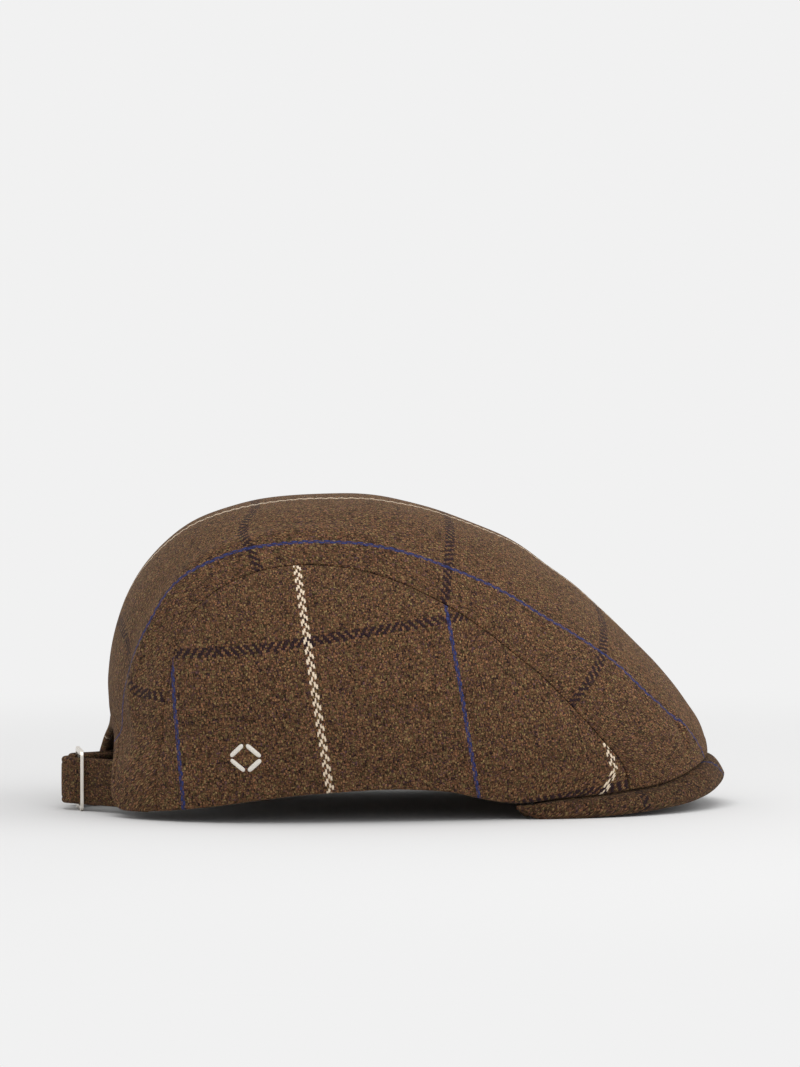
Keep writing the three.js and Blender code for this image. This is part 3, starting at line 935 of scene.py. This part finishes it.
@dataclass
class TopPanel:
    """Long middle panel, from the arch at the back over the top to the front hem."""

    material: bpy.types.Material
    wall: Wall = Wall(hem_step=0.25, stitch_depth=0.35)
    columns: int = 130
    rows: int = 230
    dome: float = 45.0
    edge_pitch: float = 360.0

    STRIPES = Table(
        "share cream blue",
        (0.0, 22, -20),
        (0.062, 16, -34.3),
        (0.13, 10, -50),
        (0.2, -2, -60),
        (0.26, -8, -59.5),
        (0.33, -14, -63),
        (0.4, -18, -66.3),
        (0.475, -20, -67.5),
        (0.55, -21, -69),
        (0.63, -20, -69.7),
        (0.7, -18, -68.5),
        (0.76, -16, -65.6),
        (0.833, -12, -57.7),
        (0.904, -7, -50.5),
        (0.967, -4, -34),
        (1.0, -3, -22),
    )
    PICKS = Table(
        "share along bow",
        (0.0, -114, 0.03),
        (0.1, -78, 0.045),
        (0.33, 0, 0.05),
        (0.617, 78, 0.01),
        (0.821, 156, 0.02),
        (1.0, 222, 0.03),
    )

    def surface(self, u: np.ndarray, v: np.ndarray) -> np.ndarray:
        """Returns the panel's outer surface before relief.

        Args:
            u: Share of the way from the right seam to the left one.
            v: Share of the way from the back to the front.

        Returns:
            Points on the crown's form.
        """
        u_part, v_part = u[..., None], v[..., None]
        guides = across(ARCH_ROWS).at(u) * (1 - v_part) + across(FRONT_HEM_ROWS).at(u) * v_part
        for side, part in ((Side.RIGHT, 1 - u_part), (Side.LEFT, u_part)):
            seam = sided(SEAM_ROWS, side)
            guides = guides + (seam.at(v) - seam.at(0) * (1 - v_part) - seam.at(1) * v_part) * part
        guides[..., 2] += self.dome * 4 * u * (1 - u) * np.sin(np.pi * v)
        return CROWN.lay(guides)

    def cloth_places(self, u: np.ndarray, v: np.ndarray, points: np.ndarray) -> np.ndarray:
        """Returns where each point lies on the flat cloth."""
        travel = travelled(points, 1)
        middle = np.array([np.interp(0.5, line_u, line) for line_u, line in zip(u, travel)])
        beside = travel - middle[:, None]
        cream = self.STRIPES.read("cream", v)
        blue = self.STRIPES.read("blue", v)
        a = np.where(beside > cream, beside - cream, HALF_PANE * (beside - cream) / (cream - blue))
        a = np.where(beside < blue, beside - blue - HALF_PANE, a)
        edge = np.abs(2 * u - 1) ** 1.5
        place = v - self.PICKS.read("bow", v) * edge
        b = self.PICKS.read("along", place) + self.edge_pitch * np.minimum(place, 0)
        return np.stack([a, b], -1)

    def build(self) -> bpy.types.Object:
        """Builds and dresses the panel."""
        piece, order = grid_piece("top_panel_cloth", self.columns, self.rows)
        rows, columns = order.shape
        u, v = np.meshgrid(
            drawn_together(np.linspace(0, 1, columns), 0.8),
            drawn_together(np.linspace(0, 1, rows), 0.75),
        )
        form = self.surface(u, v)
        along = travelled(form, 0)
        beside = travelled(form, 1)
        from_hem = np.minimum(along, along[-1:] - along)
        from_seam = np.minimum(beside, beside[:, -1:] - beside)
        seam_turn = self.wall.turn(from_seam, self.wall.seam_roll)
        turned = np.maximum(seam_turn, self.wall.turn(from_hem, self.wall.hem_roll))
        cloth = self.cloth_places(u, v, form)
        cloth_wall(piece, order, form, cloth, self.wall, turned, from_hem, along)
        dress(piece, self.material, Slot.TWEED, "top_panel")
        return piece


@dataclass
class SidePanel:
    """Panel between a seam of the crown and the hem on that side."""

    side: Side
    material: bpy.types.Material
    wall: Wall = Wall()
    columns: int = 210
    rows: int = 100
    corner_cut: float = 0.0027

    # Stripes seen from the side: the X of each stripe at a middle height, its lean, and how far
    # it turns back near the hem
    STRIPES = Table(
        "middle lean turn order",
        (-148.5, 0.06, 0, -2),
        (-91.4, 0.09, 0, -1),
        (-31.2, 0.151, 0, 0),
        (29.9, 0.172, 0, 1),
        (86.0, 0.3, 0.85, 2),
        (140.0, 0.3, 0.85, 3),
    )
    turn_drop: float = 26.0
    middle_height: float = 45.5
    view_turn: float = math.radians(7)
    pick_slope: float = 0.158
    first_pick_height: float = 77.2
    pick_lift: float = 2.6
    lift_places: tuple[float, float] = (-91.0, -45.0)
    left_offset: float = 9.0
    low_pick: float = -85.3
    low_pick_cloth: float = -78.0
    level_pick_x: float = -32.5

    def cloth_places(self, points: np.ndarray) -> np.ndarray:
        """Returns where each point lies on the flat cloth.

        The stripes lean, so their X is read at each height, and the height is measured along
        the cloth, which lies back towards the seam.
        """
        cosine, sine = math.cos(self.view_turn), math.sin(self.view_turn)
        x = points[..., 0] * cosine + np.abs(points[..., 1]) * sine
        z = points[..., 2]
        stripes = self.STRIPES.columns
        drop = self.middle_height - z
        low = np.maximum(drop - self.turn_drop, 0)
        lines = [
            middle + lean * drop - turn * low
            for middle, lean, turn in zip(stripes["middle"], stripes["lean"], stripes["turn"])
        ]
        a = np.full_like(x, stripes["order"][0])
        for before, after in zip(lines, lines[1:]):
            a += np.clip((x - before) / (after - before), 0, 1)
        heights = np.linspace(0, CROWN.height - 1, 160)
        widths = smooth_column(
            np.sqrt(CROWN.LEVELS.places),
            CROWN.LEVELS.columns["half_width"],
            np.sqrt(CROWN.height - heights),
        )
        climbed = travelled(np.column_stack([heights, widths]), 0)
        rise = np.interp(z, heights, climbed) - np.interp(self.first_pick_height, heights, climbed)
        lift = self.pick_lift * np.interp(x, self.lift_places, (1, 0)) ** 2
        rise -= lift + self.pick_slope * (x - self.level_pick_x)
        b = rise * math.cos(math.atan(self.pick_slope))
        on_form = (self.low_pick - 60, self.low_pick, 0, 200)
        on_cloth = (self.low_pick_cloth - 60, self.low_pick_cloth, 0, 200)
        b = np.interp(b, on_form, on_cloth)
        offset = 0.0 if self.side is Side.RIGHT else self.left_offset
        return np.stack([offset - self.side.value * HALF_PANE * a, b + 0.7 * offset], -1)

    def build(self) -> bpy.types.Object:
        """Builds and dresses the panel."""
        word = "right" if self.side is Side.RIGHT else "left"
        piece, order = grid_piece(f"side_panel_{word}_cloth", self.columns, self.rows)
        rows, columns = order.shape
        u, w = np.meshgrid(
            drawn_together(np.linspace(0, 1, columns), 0.5),
            drawn_together(np.linspace(0, 1, rows), 0.8),
        )
        cut = self.corner_cut
        u = cut + (1 - 2 * cut) * u
        seam = sided(SEAM_ROWS, self.side).at(u)
        hem = sided(SIDE_HEM_ROWS, self.side).at(u)
        form = CROWN.lay(seam * (1 - w[..., None]) + hem * w[..., None])
        down = travelled(form, 0)
        from_seam, from_hem = down, down[-1:] - down
        length = np.maximum(down[-1:], 1e-6)
        seam_roll = np.minimum(self.wall.seam_roll, length * 0.3)
        hem_roll = np.minimum(self.wall.hem_roll, length * 0.4)
        turned = np.maximum(self.wall.turn(from_seam, seam_roll), self.wall.turn(from_hem, hem_roll))
        turned[:, (0, -1)] = 1
        cloth_wall(piece, order, form, self.cloth_places(form), self.wall, turned, from_hem, from_hem)
        dress(piece, self.material, Slot.TWEED, f"side_panel_{word}")
        return piece


# Peak


@dataclass
class Peak:
    """Stiffened peak, covered in cloth, with a seam just above its lower edge."""

    material: bpy.types.Material
    # Centre X, length and half width in plan
    rim_plan: tuple[float, float, float] = (55, 88.3, 75)
    inner_plan: tuple[float, float, float] = (44, 29, 70)
    # At a corner and in the middle
    inner_heights: tuple[float, float] = (4.8, 28.4)
    bellies: tuple[float, float] = (2.2, 3.5)
    end_angle: float = 98
    thickness: float = 4.4
    under_hem: float = 0.6
    edge_inset: float = 2.4
    roll_power: float = 2.5
    inner_slope: float = 0.2
    corner_share: float = 0.09
    corner_kept: float = 0.25
    hem_cover: float = 1.2
    hem_reach: float = 30
    steps: int = 200
    inner_steps: int = 12
    roll_steps: int = 22
    turn_steps: int = 12
    groove_depth: float = 0.3
    groove_place: float = math.radians(50)
    groove_spread: float = math.radians(12)
    blue_line: tuple[float, float] = (140.5, -18.0)
    first_pick: float = 55.0
    cloth_turn: float = math.radians(25)

    RIM_HEIGHTS = Table(
        "angle low",
        (0, 10.4),
        (10, 9.8),
        (20, 8.1),
        (30, 5.9),
        (40, 4.0),
        (50, 2.7),
        (60, 1.6),
        (70, 0.8),
        (80, 0.2),
        (90, 0),
        (98, 0.4),
    )

    def oval(self, sizes: tuple[float, float, float], angle: float) -> np.ndarray:
        """Returns a point of an oval in plan."""
        centre_x, length, half_width = sizes
        return np.array([centre_x + length * math.cos(angle), half_width * math.sin(angle), 0.0])

    def hem_loop(self) -> np.ndarray:
        """Returns points of the crown's hem round the front."""
        shares = np.linspace(0, 1, 121)
        right = sided(SIDE_HEM_ROWS, Side.RIGHT).at(shares)[60:]
        front = across(FRONT_HEM_ROWS).at(shares)
        left = sided(SIDE_HEM_ROWS, Side.LEFT).at(shares)[::-1][:60]
        return CROWN.lay(np.vstack([right, front, left]))

    def section(self, share: float, hem_loop: np.ndarray) -> np.ndarray:
        """Returns one cross section, as a ring.

        Args:
            share: Place round the peak, from -1 at one corner to 1 at the other.
            hem_loop: Points of the crown's hem.

        Returns:
            Ring of points: top from the inside out, round the rim, and back underneath.
        """
        degrees = share * self.end_angle
        inner_angle = share * math.pi / 2
        middle_share = math.cos(inner_angle) ** 2
        rim = self.oval(self.rim_plan, math.radians(degrees))
        way = self.oval(self.inner_plan, inner_angle) - rim
        rim[2] = self.RIM_HEIGHTS.read("low", abs(degrees))
        length = float(np.linalg.norm(way))
        inwards = way / length
        near = hem_loop[np.linalg.norm(hem_loop - rim, axis=1) < self.hem_reach]
        off = np.abs((near[:, 0] - rim[0]) * inwards[1] - (near[:, 1] - rim[1]) * inwards[0])
        hem = near[np.argmin(off)]
        depth = min(float((hem - rim) @ inwards) + self.hem_cover, length * 0.85)
        inset = min(self.edge_inset, depth * 0.5)
        under_hem = hem[2] - self.under_hem
        edge_height = np.interp(middle_share, (0, 1), self.inner_heights)
        belly = np.interp(middle_share, (0, 1), self.bellies)
        top = rim[2] + belly
        rise = edge_height - under_hem
        bend = float(np.clip(self.inner_slope * (length - depth) / rise, 1, 8)) if rise > 0 else 1.0

        inner = np.linspace(0, 1, self.inner_steps, endpoint=False)
        roll = np.sin(np.linspace(0, math.pi / 2, self.roll_steps))
        rest = 1 - roll[::-1]
        turned = np.linspace(0, math.pi / 2, self.turn_steps + 2)[1:-1]
        groove = self.groove_depth * bell(turned - self.groove_place, self.groove_spread)
        inner_depth = length - (length - depth) * inner
        inner_height = edge_height - rise * inner**bend
        parts = (
            (inner_depth, inner_height),
            (depth * (1 - roll), top + (under_hem - top) * (1 - roll**self.roll_power)),
            (inset * (1 - np.cos(turned)) + groove, top - belly * np.sin(turned)),
            (inset + (depth - inset) * rest, rim[2] + (under_hem - self.thickness - rim[2]) * rest),
            (inner_depth[::-1], inner_height[::-1] - self.thickness),
        )
        depths, heights = np.hstack(parts)
        corner = min((1 - abs(share)) / self.corner_share, 1.0)
        kept = self.corner_kept + (1 - self.corner_kept) * math.sin(corner * math.pi / 2)
        ring = rim + inwards * depths[:, None]
        ring[:, 2] = under_hem + (heights - under_hem) * kept
        return ring

    def build(self) -> bpy.types.Object:
        """Builds and dresses the peak."""
        hem_loop = self.hem_loop()
        shares = np.linspace(-1, 1, self.steps + 1)
        rings = np.array([self.section(share, hem_loop) for share in shares])
        upper = rings[:, 2 : self.inner_steps + self.roll_steps]
        upper[..., 2] += 0.25 * RELIEF.dents(upper * 1.6)
        caps = [(ring + ring[::-1]) / 2 for ring in (rings[0], rings[-1])]
        rings = np.concatenate([caps[:1], rings, caps[1:]])
        piece = ring_piece("peak_cloth", rings, self.cloth_places(rings))
        dress(piece, self.material, Slot.TWEED, "peak")
        return piece

    def cloth_places(self, rings: np.ndarray) -> np.ndarray:
        """Returns where each point lies on the flat cloth, with the warp from back to front."""
        outward = unit((rings[:, self.inner_steps + self.roll_steps - 1] - rings[:, 0])[:, :2])
        profile = travelled(rings, 1)[..., None]
        laid = rings[:, :1, :2] + outward[:, None] * profile - np.array(self.blue_line)
        cosine, sine = math.cos(self.cloth_turn), math.sin(self.cloth_turn)
        a = laid[..., 1] * cosine - laid[..., 0] * sine + HALF_PANE
        b = laid[..., 0] * cosine + laid[..., 1] * sine + self.first_pick
        return np.stack([a, b], -1)


# Stitched motif


@dataclass
class StitchedMotif:
    """Small plain lozenge of four stitched bars on the right side panel."""

    material: bpy.types.Material
    centre: tuple[float, float, float] = (-72.6, -84.4, 28.0)
    half_width: float = 7.4
    half_height: float = 6.2
    bar_half_width: float = 1.0
    bar_height: float = 0.55
    bar_foot: float = 0.25
    corner_gap: float = 0.9
    steps: int = 22
    ring_steps: int = 14

    def lay(self, places: np.ndarray) -> np.ndarray:
        """Returns points on the panel, from places across and up from the motif's centre."""
        guides = np.array(self.centre) + places[..., :1] * (0.98, -0.2, 0) + places[..., 1:] * (0, 0, 1)
        return CROWN.lay(guides)

    def bar(self, index: int, start: np.ndarray, end: np.ndarray) -> bpy.types.Object:
        """Makes one bar between two places, narrow at both ends."""
        along = unit(end - start)
        beside = np.array([-along[1], along[0]])
        length = float(np.linalg.norm(end - start)) - 2 * self.corner_gap
        shares = np.linspace(0, 1, self.steps + 1)
        swell = np.maximum(1 - np.abs(2 * shares - 1) ** 6, 0.0) ** 0.5
        middle = start + along * (self.corner_gap + length * shares)[:, None]
        turned = np.linspace(0, 2 * np.pi, self.ring_steps, endpoint=False)
        aside = swell[:, None] * np.cos(turned) * self.bar_half_width
        flat = middle[:, None] + beside * aside[..., None]
        upper = np.where(np.sin(turned) > 0, self.bar_height, self.bar_foot)
        height = swell[:, None] * np.sin(turned) * upper
        form = self.lay(flat)
        normals = unit(np.cross(self.lay(flat + (0.5, 0)) - form, self.lay(flat + (0, 0.5)) - form))
        rings = form + normals * (height + RELIEF.height(form))[..., None]
        cloth = np.stack(np.broadcast_arrays((length * shares)[:, None], turned * 0.6), -1)
        return ring_piece(f"motif_bar_{index}", rings, cloth)

    def build(self) -> bpy.types.Object:
        """Builds the bars, joins them and dresses the motif."""
        w, h = self.half_width, self.half_height
        corners = np.array([(w, 0.0), (0.0, h), (-w, 0.0), (0.0, -h)])
        bars = [self.bar(i, corners[i], corners[(i + 1) % 4]) for i in range(4)]
        bpy.ops.object.select_all(action="DESELECT")
        for bar in bars:
            bar.select_set(True)
        bpy.context.view_layer.objects.active = bars[0]
        bpy.ops.object.join()
        motif = bpy.context.active_object
        motif.name = "stitched_motif"
        dress(motif, self.material, Slot.TWEED)
        return motif


# Fastening


@dataclass
class Strap:
    """Flat band of folded cloth along a route in plan, with a stitched edge."""

    name: str
    node: str
    material: bpy.types.Material
    plan: Sequence[Sequence[float]]
    thickness: float = 2.6
    height: float = 20.0
    bottom: float = 2.7
    steps: int = 170
    stitch_inset: float = 2.6
    stitch_depth: float = 0.28
    edge_width: float = 4.2
    bulge: float = 0.12
    first_end: float = 9.0
    first_pick: float = 60.0

    def ring(self) -> np.ndarray:
        """Returns the band's cross section: offset to one side, and height above its bottom."""
        half = self.thickness / 2
        low = np.linspace(half, self.edge_width, 9)
        levels = np.concatenate([low, np.linspace(5, self.height - 5, 8), self.height - low[::-1]])
        inset = self.stitch_inset
        stitched = bell(levels - inset, 0.45) + bell(levels + inset - self.height, 0.45)
        bulge = self.bulge * np.sin(np.pi * levels / self.height)
        outer = np.column_stack([half - self.stitch_depth * stitched + bulge, levels])
        angles = np.radians(np.linspace(15, 165, 6))
        top = np.column_stack([half * np.cos(angles), self.height - half + half * np.sin(angles)])
        foot = np.column_stack([-half * np.cos(angles), half - half * np.sin(angles)])
        return np.vstack([outer, top, outer[::-1] * (-1, 1), foot])

    def build(self) -> bpy.types.Object:
        """Builds and dresses the band."""
        route = Route([(x, y, 0) for x, y in self.plan])
        shares = np.linspace(0, 1, self.steps + 1)
        middle = route.at(shares)
        tangent = unit(np.gradient(middle, axis=0))
        beside = np.column_stack([-tangent[:, 1], tangent[:, 0], np.zeros(len(tangent))])
        ring = self.ring()
        rings = middle[:, None] + beside[:, None] * ring[None, :, :1]
        rings[..., 2] = self.bottom + ring[None, :, 1]
        travel = shares * route.length
        wave = 0.18 * np.sin(travel / 5.1) + 0.12 * np.sin(travel / 2.3 + 1)
        rings[..., 2] += wave[:, None] * (ring[None, :, 1] / self.height - 0.5)
        caps = [rings[end] * (0, 0, 1) + middle[end] * (1, 1, 0) for end in (0, -1)]
        rings = np.concatenate([caps[:1], rings, caps[1:]])
        picks = np.pad(travel, 1, "edge")[:, None] + self.first_pick
        cloth = np.stack(np.broadcast_arrays(travelled(ring[None], 1) + self.first_end, picks), -1)
        piece = ring_piece(self.name, rings, cloth)
        dress(piece, self.material, Slot.STRAP, self.node)
        return piece


@dataclass
class StrapPair:
    """Both straps, from the wall of the crown to the buckle."""

    material: bpy.types.Material
    wall_thickness: float = 2.2
    wall_gap: float = 1.0
    thickness: float = 2.6
    bottom: float = 2.7
    height: float = 20.0
    buckle_x: float = -135.3
    bar_spacing: float = 13.0
    loop_radius: float = 2.7
    root_sides: tuple[float, ...] = (52, 44, 35, 27)

    def root(self, side: Side) -> list[tuple[float, float]]:
        """Returns the sewn end of a strap, just inside the crown's wall."""
        depth = self.wall_thickness + self.wall_gap + self.thickness / 2
        centre = np.array(CROWN.centre)
        places = []
        for y in self.root_sides:
            guide = np.array([centre[0] - 110, side.value * y, self.bottom + self.height])
            for _ in range(7):
                on_wall = CROWN.lay(guide)
                guide = np.array([on_wall[0], side.value * y, self.bottom + self.height])
            inside = on_wall + unit(centre - on_wall) * depth
            places.append((inside[0], inside[1]))
        return places

    def build(self) -> list[bpy.types.Object]:
        """Builds the tail, which goes through the buckle, and the loop round its far bar."""
        tail = [
            *self.root(Side.RIGHT),
            (-126.2, -18.6),
            (self.buckle_x + 1.95, -self.bar_spacing + 1.95),
            (-139.4, -5.2),
            (-141.7, 0),
            (-138.6, 4.6),
            (-132.2, 8.2),
            (-127.8, 11.3),
            (-122.5, 15.2),
            (-117, 19.2),
        ]
        loop = [*self.root(Side.LEFT), (-127, 21.2)]
        for degrees in (125, 165, 205, 245, 285, 315):
            angle = math.radians(degrees)
            x = self.buckle_x + self.loop_radius * math.cos(angle)
            loop.append((x, self.bar_spacing + self.loop_radius * math.sin(angle)))
        loop += [(-129.6, 14.6), (-125.6, 17.8)]
        return [
            Strap("strap_tail_cloth", "strap_tail", self.material, tail).build(),
            Strap("strap_loop_cloth", "strap_loop", self.material, loop).build(),
        ]


@dataclass
class Buckle:
    """Slider buckle of satin metal, with rounded edges."""

    material: bpy.types.Material
    bevel: float = 0.5

    def build(self) -> bpy.types.Object:
        """Rounds a merged copy of the buckle's node."""
        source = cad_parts["buckle"]
        mesh = source.data.copy()
        piece = bpy.data.objects.new("buckle_metal", mesh)
        bpy.context.collection.objects.link(piece)

        def tidy() -> None:
            """Merges the copy's loose triangles into whole faces."""
            bpy.ops.mesh.remove_doubles(threshold=1e-6)
            bpy.ops.mesh.dissolve_limited(angle_limit=math.radians(2))

        in_edit_mode(piece, tidy)
        rounding = piece.modifiers.new("rounding", "BEVEL")
        rounding.width = self.bevel * MM
        rounding.segments = 4
        rounding.limit_method = "ANGLE"
        rounding.angle_limit = math.radians(40)
        only(piece)
        bpy.ops.object.modifier_apply(modifier=rounding.name)
        bpy.ops.object.shade_smooth_by_angle(angle=math.radians(35))
        dress(piece, self.material, Slot.METAL, "buckle")
        return piece


# Studio


@dataclass
class Studio:
    """Pale floor, soft lights and the camera."""

    azimuth: float = math.radians(7)
    elevation: float = math.radians(4)
    distance: float = 3.0
    target: tuple[float, float, float] = (0, 0, 0.060)
    aim_right: float = 0.0028
    aim_up: float = 0.0570
    lens: float = 235.4
    backdrop: float = 0.88
    surrounding_light: float = 0.77

    # Name, place, size and power of each area light
    LIGHTS = (
        ("key", (1.65, -0.45, 0.8), 1.8, 12.5),
        ("overhead", (0.0, -0.4, 1.5), 1.5, 10.5),
    )

    def camera(self) -> None:
        """Places the camera at the photograph's angle."""
        a, e = self.azimuth, self.elevation
        forward = Vector((math.sin(a) * math.cos(e), math.cos(a) * math.cos(e), -math.sin(e)))
        right = Vector((math.cos(a), -math.sin(a), 0))
        up = right.cross(forward)
        target = Vector(self.target)
        place = target - forward * self.distance
        aim = target + right * self.aim_right + up * self.aim_up
        bpy.ops.object.camera_add(location=place)
        camera = bpy.context.active_object
        camera.name = "camera"
        camera.data.lens = self.lens
        camera.data.sensor_width = 36
        camera.data.clip_end = 20
        camera.rotation_euler = (aim - place).to_track_quat("-Z", "Y").to_euler()
        bpy.context.scene.camera = camera

    def floor(self) -> None:
        """Lays the floor under the cap."""
        bpy.ops.object.select_all(action="DESELECT")
        bpy.ops.mesh.primitive_plane_add(size=30)
        floor = bpy.context.active_object
        floor.name = "floor"
        floor.data.materials.append(FloorFinish().material("pale_floor"))
        floor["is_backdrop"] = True

    def area_light(self, name: str, place: Sequence[float], size: float, power: float) -> None:
        """Adds a square light that faces the cap."""
        bpy.ops.object.light_add(type="AREA", location=place)
        light = bpy.context.active_object
        light.name = name
        light.data.shape = "SQUARE"
        light.data.size = size
        light.data.energy = power
        aim = Vector((0, 0, 0.05)) - Vector(place)
        light.rotation_euler = aim.to_track_quat("-Z", "Y").to_euler()

    def world(self) -> None:
        """Shows an even backdrop, and lights the cap less from it."""
        g = Graph(bpy.data.worlds.new("backdrop"))
        seen = g.add("ShaderNodeBackground", {0: (self.backdrop,) * 3 + (1,)}).outputs[0]
        cast = g.add("ShaderNodeBackground", {0: (1, 1, 1, 1), 1: self.surrounding_light}).outputs[0]
        is_seen = g.add("ShaderNodeLightPath").outputs["Is Camera Ray"]
        both = g.add("ShaderNodeMixShader", {0: is_seen, 1: cast, 2: seen})
        bpy.context.scene.world = g.finish(both, "ShaderNodeOutputWorld")

    def build(self) -> None:
        """Sets the whole studio."""
        self.camera()
        self.floor()
        for light in self.LIGHTS:
            self.area_light(*light)
        self.world()
        bpy.context.scene.view_settings.view_transform = "Standard"


def main() -> None:
    """Builds the cap and its studio."""
    logging.basicConfig(level=logging.INFO, format="%(message)s")
    tweed = TweedFinish().material("tweed_cloth")
    # The strap wears a darker copy of the tweed: painted shade for the strap at the back of the cap
    strap_tweed = TweedFinish(painted_shade_factor=0.76).material("strap_cloth_painted_shade")
    TopPanel(tweed).build()
    for side in Side:
        SidePanel(side, tweed).build()
    # The peak wears a darker copy of the tweed: painted shade, darker than the crown's cloth
    Peak(TweedFinish(painted_shade_factor=0.65).material("peak_cloth")).build()
    StitchedMotif(ThreadFinish().material("white_thread")).build()
    StrapPair(strap_tweed).build()
    Buckle(MetalFinish().material("satin_metal")).build()
    Studio().build()
    boxes = {"cad": cad_box, "visual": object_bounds()}
    {name: [list(map(float, corner)) for corner in box] for name, box in boxes.items()}


if __name__ == "__main__":
    main()
